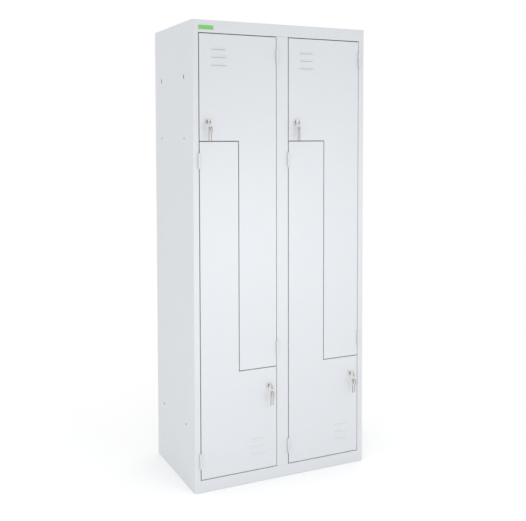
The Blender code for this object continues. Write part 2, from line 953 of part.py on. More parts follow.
# Rings and spare keys

def ring_drop():
    """The ring's wire rests on the lower rim of the key's hole."""
    hole_apothem = key_hole_radius * math.cos(math.pi / hole_sides)
    wire_place = hole_apothem - ring_wire_radius - touch_gap
    return wire_place + ring_radius


def ring_pivot():
    """Where the ring turns on the key, from the middle of the key's hole.

    While the key turns by a quarter turn, the ring turns back by a smaller angle and its wire moves from
    the rim of the hole to its middle.  The pivot is the point that this turn leaves in place: it is the
    solution of  end - pivot = turn (start - pivot).
    """
    start = Vector((0.0, -ring_drop()))
    end_x = -ring_radius * math.sin(ring_turn_on_key)
    end_z = -ring_radius * math.cos(ring_turn_on_key) + ring_centring
    end = Vector((end_x, end_z))
    turn = Matrix.Rotation(-ring_turn_on_key, 2)
    place = (Matrix.Identity(2) - turn).inverted() @ (end - turn @ start)
    return Vector((place.x, 0.0, place.y))


def key_ring():
    """A wire hoop that stands in the XZ plane round the origin."""
    rings = []
    for step in range(ring_steps):
        turn = 2 * math.pi * step / ring_steps
        outward = Vector((math.cos(turn), 0.0, math.sin(turn)))
        wire = []
        for across, along in circle(ring_wire_radius, wire_sides):
            wire.append(outward * (ring_radius + across) + Vector((0.0, along, 0.0)))
        rings.append(wire)
    return body(rings, closed=True)


def spare_key_place(side):
    """Middle of a spare key's hole below the wire, on either side of the bottom of a ring at the origin."""
    wire_level = -math.sqrt(ring_radius ** 2 - spare_key_offset ** 2)
    hole_apothem = key_hole_radius * math.cos(math.pi / hole_sides)
    level = wire_level - (hole_apothem - ring_wire_radius - touch_gap - spare_key_lift)
    return side * spare_key_offset, 0.0, level


def build_door(column, upper, name):
    """One door with its lock, key, ring and spare keys.

    The door's pieces hang from an empty on its hinge line, the turning pieces of the lock from an empty on
    the lock's axis, and the ring and the spare keys from empties on their own pivots.
    """
    hinge_x = hinge_place(column, upper)
    hinge = marker("hinge_axis_" + name, (hinge_x, hinge_line, 0.0))
    face = (-hinge_x, hinge_stand_off, 0.0)
    piece("door_panel_" + name, door_panel(column, upper), door_paint, hinge, face)

    lock_x, lock_z = lock_place(column, upper)
    on_door = (lock_x - hinge_x, hinge_stand_off, lock_z)
    piece("lock_barrel_" + name, lock_barrel(), nickel, hinge, on_door, smooth=True)
    piece("lock_nut_" + name, lock_nut(), zinc, hinge, on_door)
    lock = marker("lock_axis_" + name, on_door, hinge)
    piece("lock_plug_" + name, lock_plug(), nickel, lock, smooth=True)
    piece("lock_cam_" + name, lock_cam(1 if upper else -1), zinc, lock)
    key_place = (0.0, key_hole_place, 0.0)
    piece("key_" + name, key_blank(), key_brass, lock, key_place, (math.pi / 2, 0.0, 0.0))

    pivot = ring_pivot() + Vector(key_place)
    ring_axis = marker("ring_axis_" + name, pivot, lock)
    centre = Vector((0.0, 0.0, -ring_drop())) - ring_pivot()
    piece("key_ring_" + name, key_ring(), nickel, ring_axis, centre, smooth=True)
    spare_axis = marker("spare_key_axis_" + name, centre, ring_axis)
    for side, turn, which in zip((-1, 1), spare_key_turns, ("_a", "_b")):
        spare_name = "spare_key_" + name + which
        piece(spare_name, key_blank(), key_brass, spare_axis, spare_key_place(side), (0.0, 0.0, turn))


def build_frame_hinges(column, upper, name):
    """The two hinge halves that carry a door, welded to the lip beside it."""
    place = (hinge_place(column, upper), hinge_line, 0.0)
    for level, which in zip(hinge_levels(upper), ("bottom", "top")):
        half = frame_knuckle(level, 1 if upper else -1)
        piece("hinge_pin_half_" + name + "_" + which, half, cabinet_paint, place=place, smooth=True)


def build():
    for item in list(bpy.context.scene.objects):
        bpy.data.objects.remove(item)
    build_cabinet()
    for column, side in ((-1, "left"), (1, "right")):
        for upper, level in ((True, "upper_"), (False, "lower_")):
            build_frame_hinges(column, upper, level + side)
            build_door(column, upper, level + side)
    bpy.context.view_layer.update()


build()
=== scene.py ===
# %% [markdown]
# # A steel locker whose doors share each column in a Z
#
# Two people share a column of this locker: the upper and the lower door are both shaped like an L, and the
# joint between them runs like a Z.  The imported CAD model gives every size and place.  This file dresses it:
# each visible sheet, lock and key is made again as a fine surface that rides on the body it belongs to.
#
# It reads as a notebook.  Each cell explains one piece of the real object and then makes it.

# %% Load the fixed frame
import math

import bmesh
import bpy
import numpy as np
from mathutils import Matrix, Vector


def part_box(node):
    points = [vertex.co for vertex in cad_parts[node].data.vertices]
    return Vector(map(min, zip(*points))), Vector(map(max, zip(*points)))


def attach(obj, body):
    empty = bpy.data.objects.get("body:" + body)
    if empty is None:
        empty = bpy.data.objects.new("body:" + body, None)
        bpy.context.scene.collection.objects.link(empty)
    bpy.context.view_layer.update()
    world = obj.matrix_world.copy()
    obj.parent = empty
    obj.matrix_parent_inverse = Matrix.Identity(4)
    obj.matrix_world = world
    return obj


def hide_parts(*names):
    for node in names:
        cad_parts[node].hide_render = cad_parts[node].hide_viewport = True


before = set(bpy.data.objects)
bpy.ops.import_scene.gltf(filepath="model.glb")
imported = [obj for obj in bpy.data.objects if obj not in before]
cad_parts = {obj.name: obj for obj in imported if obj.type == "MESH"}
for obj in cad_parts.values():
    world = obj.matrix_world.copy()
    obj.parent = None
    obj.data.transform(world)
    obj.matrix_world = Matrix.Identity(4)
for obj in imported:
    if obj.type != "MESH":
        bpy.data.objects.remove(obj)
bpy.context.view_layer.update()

# %% [markdown]
# ## The camera
#
# The photograph looks at the locker from its front left, a little above its middle.  The camera's place,
# its turn and its lens were found by laying the cabinet's outer corners over the same corners in the
# photograph.  The picture was cropped above its middle, so the camera is shifted, which keeps the uprights
# as upright as they are there.

# %% Camera
photo_width = 526
photo_height = 521
camera_place = Vector((-1.4292, -3.0785, 1.3814))
turn_to_right = 0.4420
tilt_up = -0.0524
roll = -0.0019
lens_in_pixels = 796.4
picture_axis = (264.12, 179.76)
film_width = 36.0

camera_data = bpy.data.cameras.new("camera")
camera_data.sensor_width = film_width
camera_data.lens = lens_in_pixels / photo_width * film_width
camera_data.shift_x = (photo_width / 2 - picture_axis[0]) / photo_width
camera_data.shift_y = (picture_axis[1] - photo_height / 2) / photo_width
camera = bpy.data.objects.new("camera", camera_data)
bpy.context.scene.collection.objects.link(camera)
upright = Matrix.Rotation(math.pi / 2 + tilt_up, 4, "X") @ Matrix.Rotation(roll, 4, "Z")
camera.matrix_world = Matrix.Translation(camera_place) @ Matrix.Rotation(-turn_to_right, 4, "Z") @ upright
bpy.context.scene.camera = camera
print("lens", round(camera_data.lens, 2), "mm")

# %% [markdown]
# ## Sizes read from the frame
#
# The cabinet's planes are the sides of its CAD nodes.  Only what no box can tell, such as the sheet's
# thickness or a fold's radius, is written as a number.  Every length is in metres.

# %% Planes of the cabinet
def low(node):
    """Lowest corner of a CAD node."""
    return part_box(node)[0]


def high(node):
    """Highest corner of a CAD node."""
    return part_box(node)[1]


def box_middle(node):
    """Middle of a CAD node's box."""
    return (low(node) + high(node)) / 2


sheet = 0.0008
fold = 0.0012
weld_gap = 0.0003
side = high("side_panel_right").x
front = low("centre_post").y
top = high("back_panel").z
back_inside = high("side_panel_left").y
floor_back = high("base_panel").y
floor_side = high("base_panel").x
rail = high("base_panel").z
stile_inner = -high("side_panel_left").x
post = high("centre_post").x
lip = high("centre_post").y - front
door_gap = top - rail - high("door_panel_upper_left").z
upper_step = high("door_panel_lower_left").z + door_gap / 2
lower_step = top - upper_step
columns = {"left": (-stile_inner, -post), "right": (post, stile_inner)}
print("door openings from", round(rail, 4), "to", round(top - rail, 4), "gaps", round(door_gap, 4),
      "steps at", round(lower_step, 4), round(upper_step, 4))

# %% [markdown]
# ## Turning points into meshes
#
# Every piece below is a grid of points worked out with numpy.  Neighbouring points make quads, and these
# helpers only say which points those are.  The finished mesh has its doubled points merged and its faces
# turned outward, and edges sharper than a limit are shaded sharp.

# %% Grids, rings and plates
merge_distance = 0.000002
sharp_angle = 40


def unit(vectors):
    """Each vector divided by its length."""
    return vectors / np.linalg.norm(vectors, axis=-1, keepdims=True)


def together(*parts):
    """Points from their coordinates, which are arrays or numbers spread to one shape."""
    return np.stack(np.broadcast_arrays(*parts), axis=-1)


def angles(count):
    """Angles of a circle's points: 2 pi * (number + a half) / count."""
    return 2 * math.pi * (np.arange(count) + 0.5) / count


def cell_middles(values):
    """A grid's values half way between each cell's first and last corner."""
    return (values[:-1, :-1] + values[1:, 1:]) / 2


def quads(numbers):
    """The four corner numbers of every cell in a grid of point numbers."""
    return together(numbers[:-1, :-1], numbers[:-1, 1:], numbers[1:, 1:], numbers[1:, :-1]).reshape(-1, 4)


def mesh_from(name, points, faces, sharp=sharp_angle, facing=None, walked=None, wall=None):
    """A mesh of points and faces, merged, facing outward and shaded smooth up to a limit in degrees.

    An open surface has no outside, so it is turned to face a direction instead.  Points may keep the length
    walked along a profile, and faces may be marked as the walls of a stamped piece.
    """
    mesh = bpy.data.meshes.new(name)
    mesh.from_pydata(np.reshape(points, (-1, 3)).tolist(), [], faces)
    if walked is not None:
        mesh.attributes.new("walked", "FLOAT", "POINT").data.foreach_set("value", np.ravel(walked))
    if wall is not None:
        mesh.attributes.new("wall", "FLOAT", "FACE").data.foreach_set("value", wall)
    work = bmesh.new()
    work.from_mesh(mesh)
    bmesh.ops.remove_doubles(work, verts=work.verts, dist=merge_distance)
    loose = [vertex for vertex in work.verts if not vertex.link_faces]
    bmesh.ops.delete(work, geom=loose, context="VERTS")
    bmesh.ops.recalc_face_normals(work, faces=work.faces)
    if facing is not None:
        work.faces.ensure_lookup_table()
        largest = max(work.faces, key=lambda face: face.calc_area())
        if largest.normal.dot(Vector(facing)) < 0:
            bmesh.ops.reverse_faces(work, faces=work.faces)
    work.to_mesh(mesh)
    work.free()
    mesh.shade_smooth()
    mesh.set_sharp_from_angle(angle=math.radians(sharp))
    return mesh


def loft(name, rings, hoop=False, sharp=sharp_angle, walked=None):
    """A closed body through rings of points: its ends are filled, or meet each other in a hoop."""
    count, around = rings.shape[:2]
    numbers = np.arange(count * around).reshape(count, around)
    numbers = np.hstack([numbers, numbers[:, :1]])
    if hoop:
        numbers = np.vstack([numbers, numbers[:1]])
    faces = quads(numbers).tolist()
    if not hoop:
        faces += [numbers[0, :-1].tolist(), numbers[-1, :-1].tolist()]
    return mesh_from(name, rings, faces, sharp=sharp, walked=walked)


def plate_faces(keep):
    """Faces of a plate with a front and a back grid, and a wall wherever a kept cell ends.

    Number of a back point = number of the front point + number of points in a grid.
    """
    rows, across = keep.shape
    numbers = np.arange((rows + 1) * (across + 1)).reshape(rows + 1, across + 1)
    front_faces = quads(numbers)[keep.ravel()]
    framed = np.pad(keep, 1)
    along_rows = (framed[:-1, 1:-1] != framed[1:, 1:-1], numbers[:, :-1], numbers[:, 1:])
    up_columns = (framed[1:-1, :-1] != framed[1:-1, 1:], numbers[:-1, :], numbers[1:, :])
    walls = []
    for ends, starts, stops in (along_rows, up_columns):
        start, stop = starts[ends], stops[ends]
        walls.append(together(start, stop, stop + numbers.size, start + numbers.size))
    return np.vstack([front_faces, front_faces[:, ::-1] + numbers.size, *walls]).tolist()


# %% [markdown]
# ## Folded sheet
#
# A locker is folded from flat sheet on a press brake, so each panel is a line of straight runs and round
# bends that is carried along the fold.  The outer face has the larger radius.  A few points just beside
# each bend hold the flat runs flat when the bend is shaded round.

# %% Lines with round bends
shoulder = 0.0006


def folded(corners, side_of_sheet, inner=fold, thick=sheet, steps=6, shoulder=shoulder):
    """Both faces of a sheet folded at each corner of a line: the given face, then the other.

    At a corner the bend starts radius * tan(turn / 2) before it.  Its centre lies one radius to the side
    that the line turns to, and its points are the centre plus a spoke turned by equal shares of the turn.
    The sheet lies to the left of the line where side_of_sheet is 1, and to its right where it is -1.
    """
    corners = np.array(corners, float)
    ways = unit(np.diff(corners, axis=0))
    across = together(-ways[:, 1], ways[:, 0]) * side_of_sheet * thick
    before, after = ways[:-1], ways[1:]
    turn = np.arctan2(before[:, 0] * after[:, 1] - before[:, 1] * after[:, 0], (before * after).sum(1))
    outside = turn * side_of_sheet > 0
    near = np.where(outside, inner + thick, inner)
    far = np.where(outside, inner, inner + thick)
    reach = (near * np.tan(np.abs(turn) / 2))[:, None]
    start = corners[1:-1] - before * reach
    stop = corners[1:-1] + after * reach
    spoke = together(before[:, 1], -before[:, 0]) * np.sign(turn)[:, None]
    centre = start - spoke * near[:, None]
    angle = turn[:, None] * np.linspace(0, 1, steps + 1)
    cos, sin = np.cos(angle), np.sin(angle)
    spokes = together(spoke[:, :1] * cos - spoke[:, 1:] * sin, spoke[:, :1] * sin + spoke[:, 1:] * cos)
    faces = []
    for radius, moved in ((near, 0 * across), (far, across)):
        first = (start - before * shoulder + moved[:-1])[:, None]
        bends = centre[:, None] + spokes * radius[:, None, None]
        last = (stop + after * shoulder + moved[1:])[:, None]
        bent = np.concatenate([first, bends, last], axis=1).reshape(-1, 2)
        faces.append(np.vstack([corners[:1] + moved[:1], bent, corners[-1:] + moved[-1:]]))
    return faces


def lengths(line):
    """Length walked along a line up to each of its points."""
    return np.concatenate([[0], np.cumsum(np.linalg.norm(np.diff(line, axis=0), axis=1))])


def walked_to(line, point):
    """Length walked along a line to the place on it nearest to a point."""
    starts, runs = line[:-1], np.diff(line, axis=0)
    squared = np.maximum((runs ** 2).sum(1), 1e-18)
    share = np.clip(((point - starts) * runs).sum(1) / squared, 0, 1)
    away = np.linalg.norm(starts + runs * share[:, None] - point, axis=1)
    nearest = away.argmin()
    return lengths(line)[nearest] + share[nearest] * math.sqrt(squared[nearest])


# %% [markdown]
# ## Holes in a grid
#
# A hole is made by leaving out cells.  Grid lines are set close round it, and the square that they leave
# out is bent to a circle: a point on the square moves straight to or from the middle until it is one radius
# away, and the points of a wider square stay, so the bending fades out between the two.

# %% Pierced grids
hole_lines = 6
hair = 1e-4


def round_hole(point, place, radius):
    """The row of a round hole: its point on the line, its place along the fold, and its half sizes."""
    return point, place, radius, radius, True


def pierced(first_lines, second_lines, holes, flat=lambda first, second: (first, second), block=2.0):
    """Grid lines with round or square holes: coordinates of all points, and which cells are kept.

    Each hole is (first, second, half its first size, half its second size, round or not).  Between the rim
    and the block's edge a point is  rim * (1 - share) + edge * share.  The flat function gives the true
    place of a pair of grid values, for a grid whose lines aren't straight.
    """
    spread = np.tan(np.linspace(-math.pi / 4, math.pi / 4, hole_lines + 1))
    halfway = (1 + block) / 2
    spread = np.concatenate([[-block, -halfway], spread, [halfway, block]])
    lines = []
    for way, given in enumerate((first_lines, second_lines)):
        around_holes = [hole[way] + hole[way + 2] * spread for hole in holes]
        lines.append(np.unique(np.round(np.concatenate([given, *around_holes]), 7)))
    grid_first, grid_second = np.meshgrid(*lines, indexing="ij")
    middle_first, middle_second = cell_middles(grid_first), cell_middles(grid_second)
    keep = np.ones(middle_first.shape, bool)
    x, y = flat(grid_first, grid_second)
    x, y = x.copy(), y.copy()
    for first, second, half_first, half_second, is_round in holes:
        cell = np.maximum(abs(middle_first - first) / half_first, abs(middle_second - second) / half_second)
        keep &= cell > 1
        if not is_round:
            continue
        across, along = (grid_first - first) / half_first, (grid_second - second) / half_second
        square = np.maximum(abs(across), abs(along))
        ring = (square > 1 - hair) & (square < block - hair)
        across, along, square = across[ring], along[ring], square[ring]
        share = (square - 1) / (block - 1)
        widen = block / square
        edge = flat(first + across * widen * half_first, second + along * widen * half_second)
        centre = flat(np.float64(first), np.float64(second))
        reach = np.hypot(across, along)
        x[ring] = (centre[0] + half_second * across / reach) * (1 - share) + edge[0] * share
        y[ring] = (centre[1] + half_second * along / reach) * (1 - share) + edge[1] * share
    return x, y, keep


def folded_panel(name, lines, axis, start, stop, holes=(), rows=(), leave_out=None):
    """A folded sheet carried along an axis, with holes given as (point on the line, place along the axis).

    Its front and back points are the two faces of the line, read at the length walked along it.
    """
    given, other = lines
    walked = lengths(given)
    walked, kept = np.unique(np.round(walked, 8), return_index=True)
    given, other = given[kept], other[kept]
    placed = [(walked_to(given, np.array(point)), place, *size) for point, place, *size in holes]
    u, v, keep = pierced(walked, np.array([start, stop, *rows]), placed)
    order = {"X": (2, 0, 1), "Y": (0, 2, 1), "Z": (0, 1, 2)}[axis]
    faces = []
    for line in (given, other):
        spot = (np.interp(u, walked, line[:, 0]), np.interp(u, walked, line[:, 1]), v)
        faces.append(together(*[spot[index] for index in order]))
    if leave_out is not None:
        middle = cell_middles(faces[0])
        keep &= ~leave_out(middle[..., 0], middle[..., 1], middle[..., 2])
    return mesh_from(name, np.stack(faces), plate_faces(keep))


# %% [markdown]
# ## Turned pieces
#
# Lock parts, rivets and hinge barrels are round, so a profile of (radius, place) pairs is turned about an
# axis.  A point on the ring at angle a is the centre plus radius * (cos a, sin a).

# %% Lathe
turned_sides = 48
rounding_steps = 4
rounding_shoulder = 0.2


def rounded_profile(corners, radius):
    """A profile whose corners are rounded: the given face of a folded line of no thickness."""
    return folded(corners, 1, radius, 0.0, rounding_steps, radius * rounding_shoulder)[0]


def turned_rings(profile, axis, centre, sides=turned_sides):
    """Rings of points round an axis through a centre; the profile's place counts from the centre."""
    profile = np.array(profile, float)
    first, second = profile[:, :1] * np.cos(angles(sides)), profile[:, :1] * np.sin(angles(sides))
    along = profile[:, 1:]
    order = {"X": (along, first, second), "Y": (first, along, second), "Z": (first, second, along)}[axis]
    return together(*order) + np.array(centre)


def turned(name, profile, axis, centre, hoop=False):
    """A turned body that keeps the length walked along its profile at every point."""
    walked = np.repeat(lengths(np.array(profile)), turned_sides)
    return loft(name, turned_rings(profile, axis, centre), hoop=hoop, walked=walked)


# %% [markdown]
# ## Finishes
#
# The locker is powder coated: a dry paint is sprayed on and baked, so it is even, half glossy, and has a
# faint orange peel.  The locks are nickel plated round a core painted dark as painted shade of its keyway,
# the cams and nuts are zinc plated, and the keys are plated brass.  A finish is a sum of noises, so a small
# class lets a socket be added and multiplied as if it were a number, and each sum makes the Math nodes that
# it needs.

# %% A socket that can be calculated with
class Signal:
    """The value of a socket: + - and * with numbers or other signals add the Math nodes for it."""

    def __init__(self, tree, socket=None):
        self.tree = tree
        self.socket = socket

    def feed(self, node, inputs):
        """Sets a node's sockets to numbers, or links signals to them."""
        for name, value in inputs.items():
            if isinstance(value, Signal):
                self.tree.links.new(value.socket, node.inputs[name])
            else:
                node.inputs[name].default_value = value

    def node(self, kind, settings=None, inputs=None, output=0):
        """Any other node: its settings first, then its sockets; returns one of its outputs."""
        node = self.tree.nodes.new("ShaderNode" + kind)
        for name, value in (settings or {}).items():
            setattr(node, name, value)
        self.feed(node, inputs or {})
        return Signal(self.tree, node.outputs[output])

    def math(self, operation, first, second):
        """A Math node of two signals or numbers."""
        return self.node("Math", {"operation": operation}, {0: first, 1: second})

    def __add__(self, other):
        return self.math("ADD", self, other)

    def __sub__(self, other):
        return self.math("SUBTRACT", self, other)

    def __rsub__(self, other):
        return self.math("SUBTRACT", other, self)

    def __mul__(self, other):
        return self.math("MULTIPLY", self, other)

    __radd__ = __add__
    __rmul__ = __mul__


def new_finish(name, **constants):
    """A material, its shader with its constant sockets set, and the Object coordinates for its nodes."""
    finish = bpy.data.materials.new(name)
    finish.use_nodes = True
    shader = finish.node_tree.nodes["Principled BSDF"]
    place = Signal(finish.node_tree).node("TexCoord", output="Object")
    place.feed(shader, {socket.replace("_", " "): value for socket, value in constants.items()})
    return finish, shader, place


def noise(place, scale, detail=1.0):
    """Noise from 0 to 1 with lumps of about one over its scale, in metres."""
    return place.node("TexNoise", None, {"Vector": place, "Scale": scale, "Detail": detail})


def between(mask, first, second):
    """first * (1 - mask) + second * mask, for colours; the first may be a signal."""
    if not isinstance(first, Signal):
        first = (*first, 1.0)
    return mask.node("Mix", {"data_type": "RGBA"}, {0: mask, 6: first, 7: (*second, 1.0)}, output=2)


def clouded(colour, mask, share):
    """The colour made darker where the mask is 0 and lighter where it is 1, by a share."""
    return between(mask, *[tuple(channel * (1 + way * share) for channel in colour) for way in (-1, 1)])


def bump(height):
    """A normal bent by a height in metres."""
    return height.node("Bump", None, {"Height": height, "Distance": 1.0, "Strength": 1.0})


# %% [markdown]
# ### Powder coat
#
# Two slow noises give the paint its hardly visible clouds and let the thin sheet wave a little, as pressed
# sheet does between its folds.  A fast one with lumps of a millimetre and a half is the orange peel.  The
# heights are true metres, so the bump keeps its scale in a close view.

# %% Powder coat
cloud_scale, peel_scale, wave_scale = 2.2, 650.0, 5.0
cloud_contrast, cloud_gloss, peel_gloss = 0.015, 0.06, 0.04
peel_height = 0.000012
wave_height = 0.00025


def powder_coat(name, colour, roughness):
    """Baked paint: colour from slow clouds, roughness from both noises, height = peel + waves."""
    finish, shader, place = new_finish(name, Specular_IOR_Level=0.5)
    clouds = noise(place, cloud_scale, 3.0)
    peel = noise(place, peel_scale)
    waves = noise(place, wave_scale, 0.0)
    place.feed(shader, {
        "Base Color": clouded(colour, clouds, cloud_contrast),
        "Roughness": roughness + peel_gloss * (peel - 0.5) + cloud_gloss * (clouds - 0.5),
        "Normal": bump(peel * peel_height + waves * wave_height),
    })
    return finish


# The cabinet's coat is a touch darker than the doors' coat, though both are one paint: painted shade on the
# frame.
cabinet_paint = powder_coat("cabinet_powder_coat", (0.648, 0.670, 0.693), 0.42)
door_paint = powder_coat("door_powder_coat", (0.652, 0.672, 0.698), 0.38)
inside_paint = powder_coat("inside_powder_coat", (0.640, 0.660, 0.684), 0.46)
print("powder coats:", cabinet_paint.name, door_paint.name, inside_paint.name)

# %% [markdown]
# ### Metals and the label
#
# Turned parts keep rings from the lathe's tool.  Each turned mesh has an attribute, the length walked along
# its profile, and a noise on that length alone makes rings that follow the part.  Keys are scratched and
# handled; their cut walls, marked by an attribute, are dark cut brass made nearly black as painted shade.
# Zinc has a blotchy bluish film, and the rivets' zinc is painted very dark as painted shade of holes.

# %% Plated metals
ring_scale, scratch_scale = 5000.0, 4000.0
blotch_gloss, scratch_gloss = 0.12, 0.05
ring_height = 0.000004
scratch_height = 0.000002


def plated(name, colour, roughness, blotch, tint, metallic=1.0, cut=None):
    """Metal whose colour and roughness follow blotches, with rings along the profile as bump.

    Where the walls of a stamped piece are marked, they get the colour given as cut, a dark one that is partly
    cut metal and partly painted shade.
    """
    finish, shader, place = new_finish(name, Metallic=metallic)
    walked = place.node("Attribute", {"attribute_name": "walked"}, output=2)
    blotches = noise(place, blotch, 3.0)
    rings = walked.node("TexNoise", {"noise_dimensions": "1D"},
                        {"W": walked, "Scale": ring_scale, "Detail": 1.0})
    scratches = noise(place, scratch_scale, 2.0)
    plate = between(blotches, colour, tint)
    if cut is not None:
        plate = between(place.node("Attribute", {"attribute_name": "wall"}, output=2), plate, cut)
    place.feed(shader, {
        "Base Color": plate,
        "Roughness": roughness + blotch_gloss * (blotches - 0.5) + scratch_gloss * (scratches - 0.5),
        "Normal": bump(rings * ring_height + scratches * scratch_height),
    })
    return finish


nickel = plated("bright_nickel", (0.76, 0.75, 0.73), 0.22, 300.0, (0.85, 0.84, 0.82))
# The core's dark colour is painted shade, standing in for the shade of the keyway in its face.
core_metal = plated("worn_core", (0.34, 0.32, 0.29), 0.30, 300.0, (0.46, 0.43, 0.39))
zinc = plated("zinc_film", (0.42, 0.43, 0.45), 0.38, 120.0, (0.52, 0.51, 0.49))
# The rivets' zinc is painted very dark: painted shade, as of open holes in the panels.
dull_zinc = plated("dull_zinc", (0.17, 0.18, 0.19), 0.50, 120.0, (0.24, 0.24, 0.25))
# The keys' cut walls are nearly black: partly darker cut brass, partly painted shade along the edges.
key_plate = plated("handled_key", (0.91, 0.88, 0.85), 0.36, 160.0, (0.98, 0.96, 0.94), 0.65,
                   cut=(0.14, 0.12, 0.09))


def label_enamel(name, colour):
    """A glossy printed plate: an even colour under a clear coat, hardly clouded."""
    finish, shader, place = new_finish(name, Coat_Roughness=0.08, Coat_Weight=0.6)
    clouds = noise(place, 90.0, 2.0)
    place.feed(shader, {"Base Color": clouded(colour, clouds, 0.06), "Roughness": 0.30 + 0.06 * clouds})
    return finish


label_green = label_enamel("label_green", (0.175, 0.545, 0.125))
print("metals:", nickel.name, zinc.name, key_plate.name)

# %% [markdown]
# ## Pieces
#
# A piece is a mesh with a finish that rides on a body of the frame.  It takes the place of the CAD nodes
# that it stands for, and thin sheet pieces get their thickness from a Solidify modifier, on the inside.

# %% Putting a piece in the scene
rounded_from = math.radians(50)


def add_piece(mesh, finish, body, *stands_for, thick=None, rounded=None):
    """Links a mesh as a piece of its name, with a wall or rounded edges where it asks for them."""
    piece = bpy.data.objects.new(mesh.name, mesh)
    bpy.context.scene.collection.objects.link(piece)
    mesh.materials.append(finish)
    if thick is not None:
        wall = piece.modifiers.new("sheet", "SOLIDIFY")
        wall.thickness = thick
        wall.offset = -1
        wall.use_even_offset = True
    if rounded is not None:
        edge = piece.modifiers.new("edges", "BEVEL")
        edge.width = rounded
        edge.segments = 2
        edge.limit_method = "ANGLE"
        edge.angle_limit = rounded_from
    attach(piece, body)
    if stands_for:
        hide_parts(*stands_for)


def joined(name, meshes):
    """Several meshes as one."""
    work = bmesh.new()
    for mesh in meshes:
        work.from_mesh(mesh)
    whole = bpy.data.meshes.new(name)
    work.to_mesh(whole)
    work.free()
    whole.shade_smooth()
    whole.set_sharp_from_angle(angle=math.radians(sharp_angle))
    return whole


# %% [markdown]
# ## Folded panels of the cabinet
#
# Both side panels, the roof and the floor are each one folded sheet.  The stile beside the doors, its lip
# and the flange at the back belong to the side panel, and the front rail belongs to the roof.

# %% Side panels
mark_columns = (front + 0.0985, front + 0.3745)
slot_level = 1.6200
slot_half_sizes = (0.0035, 0.0080)
link_level = 0.2450
link_radius = 0.0045
rivet_radius = 0.0040
rivet_hole = rivet_radius + weld_gap
rivet_rise = 0.0110
back_flange = 0.0150
rivet_levels = {"left": upper_step + rivet_rise, "right": lower_step + rivet_rise}
under_roof = top - sheet - weld_gap

for word, way in (("left", -1), ("right", 1)):
    outer, stile = way * side, way * stile_inner
    corners = [(outer - way * back_flange, back_inside), (outer, back_inside), (outer, front), (stile, front),
               (stile, front + lip)]
    holes = []
    for mark in mark_columns:
        spot = (outer, mark)
        holes += [(spot, slot_level, *slot_half_sizes, False), round_hole(spot, link_level, link_radius),
                  round_hole(spot, rivet_levels[word], rivet_hole)]
    panel = folded_panel("side_sheet_" + word, folded(corners, -way), "Z", 0.0, under_roof, holes)
    add_piece(panel, cabinet_paint, "cabinet", "side_panel_" + word)
print("side sheets of", len(panel.polygons), "faces")

# %% Roof with the front rail
notch = stile_inner - weld_gap
flush = stile_inner + fold + sheet
ends = (-flush, -notch, notch, flush)
in_plane = 0.00001


def beside_stile(x, y, below):
    """What the ends of a front lack, so that the stiles pass: all but its flat, which meets theirs."""
    return (abs(x) > notch) & below & ((y > front + in_plane) | (abs(x) > flush))


corners = [(back_inside, top - back_flange), (back_inside, top), (front, top), (front, top - rail),
           (front + lip, top - rail)]
roof = folded_panel("roof_sheet", folded(corners, 1), "X", -side, side, rows=ends,
                    leave_out=lambda x, y, z: beside_stile(x, y, z < top - sheet - weld_gap / 2))
add_piece(roof, cabinet_paint, "cabinet", "top_panel")
print("roof of", len(roof.polygons), "faces")

# %% Floor with the plinth
foot_return = 0.0200
past_lip = front + lip + weld_gap
corners = [(front + foot_return, 0.0), (past_lip, 0.0), (front, 0.0), (front, rail), (past_lip, rail),
           (floor_back, rail), (floor_back, 0.0), (floor_back - foot_return, 0.0)]
plinth = folded_panel("floor_sheet", folded(corners, -1), "X", -floor_side, floor_side, rows=ends,
                      leave_out=lambda x, y, z: beside_stile(x, y, y < past_lip))
add_piece(plinth, cabinet_paint, "cabinet", "base_panel")
print("floor of", len(plinth.polygons), "faces")

# %% Centre post and the walls between the compartments
partition_flange = 0.0150
divider_flange = 0.0120
shelf_front = front + 0.0190
above_rail, under_rail = rail + weld_gap, top - rail - weld_gap
under_flange = top - back_flange - weld_gap

corners = [(post, front + lip), (post, front), (-post, front), (-post, front + lip)]
centre = folded_panel("centre_sheet", folded(corners, -1), "Z", above_rail, under_rail)
add_piece(centre, cabinet_paint, "cabinet", "centre_post")

face, near = -sheet / 2, front + sheet + weld_gap
corners = [(face + partition_flange, near), (face, near), (face, past_lip), (face, floor_back),
           (face, back_inside), (face + partition_flange, back_inside)]
partition = folded_panel(
    "partition_sheet", folded(corners, -1), "Z", above_rail, under_roof, rows=(under_rail, under_flange),
    holes=[round_hole((face, mark), level, rivet_hole)
           for mark in mark_columns for level in rivet_levels.values()],
    leave_out=lambda x, y, z: ((y < past_lip) & (z > under_rail)) | ((y > floor_back) & (z > under_flange)),
)
add_piece(partition, inside_paint, "cabinet", "centre_partition")

for word, (left, right) in columns.items():
    node = "divider_" + word
    face = (left + right) / 2 - sheet / 2
    flange = face + divider_flange
    corners = [(flange, shelf_front), (face, shelf_front), (face, back_inside), (flange, back_inside)]
    wall = folded_panel("divider_sheet_" + word, folded(corners, -1), "Z", low(node).z, high(node).z)
    add_piece(wall, inside_paint, "cabinet", node)
print("post, partition and dividers made")

# %% The back panel and the brace keep their CAD meshes
for node, finish in (("back_panel", cabinet_paint), ("base_brace", inside_paint)):
    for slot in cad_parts[node].material_slots:
        slot.material = finish
    print(node, "is", finish.name)

# %% [markdown]
# ## Trays
#
# Doors and shelves are trays: a flat whose edges are folded back and then inward.  The flat is a grid.  Its
# rim carries the outline on through a quarter circle, down the edge, through another quarter circle and
# inward.  The corners of each ring are those of the outline moved in by a margin, which gives the folds
# their mitres.

# %% A tray of folded sheet
tray_bend = 0.0015
tray_steps = 5
past_bend = tray_bend + shoulder


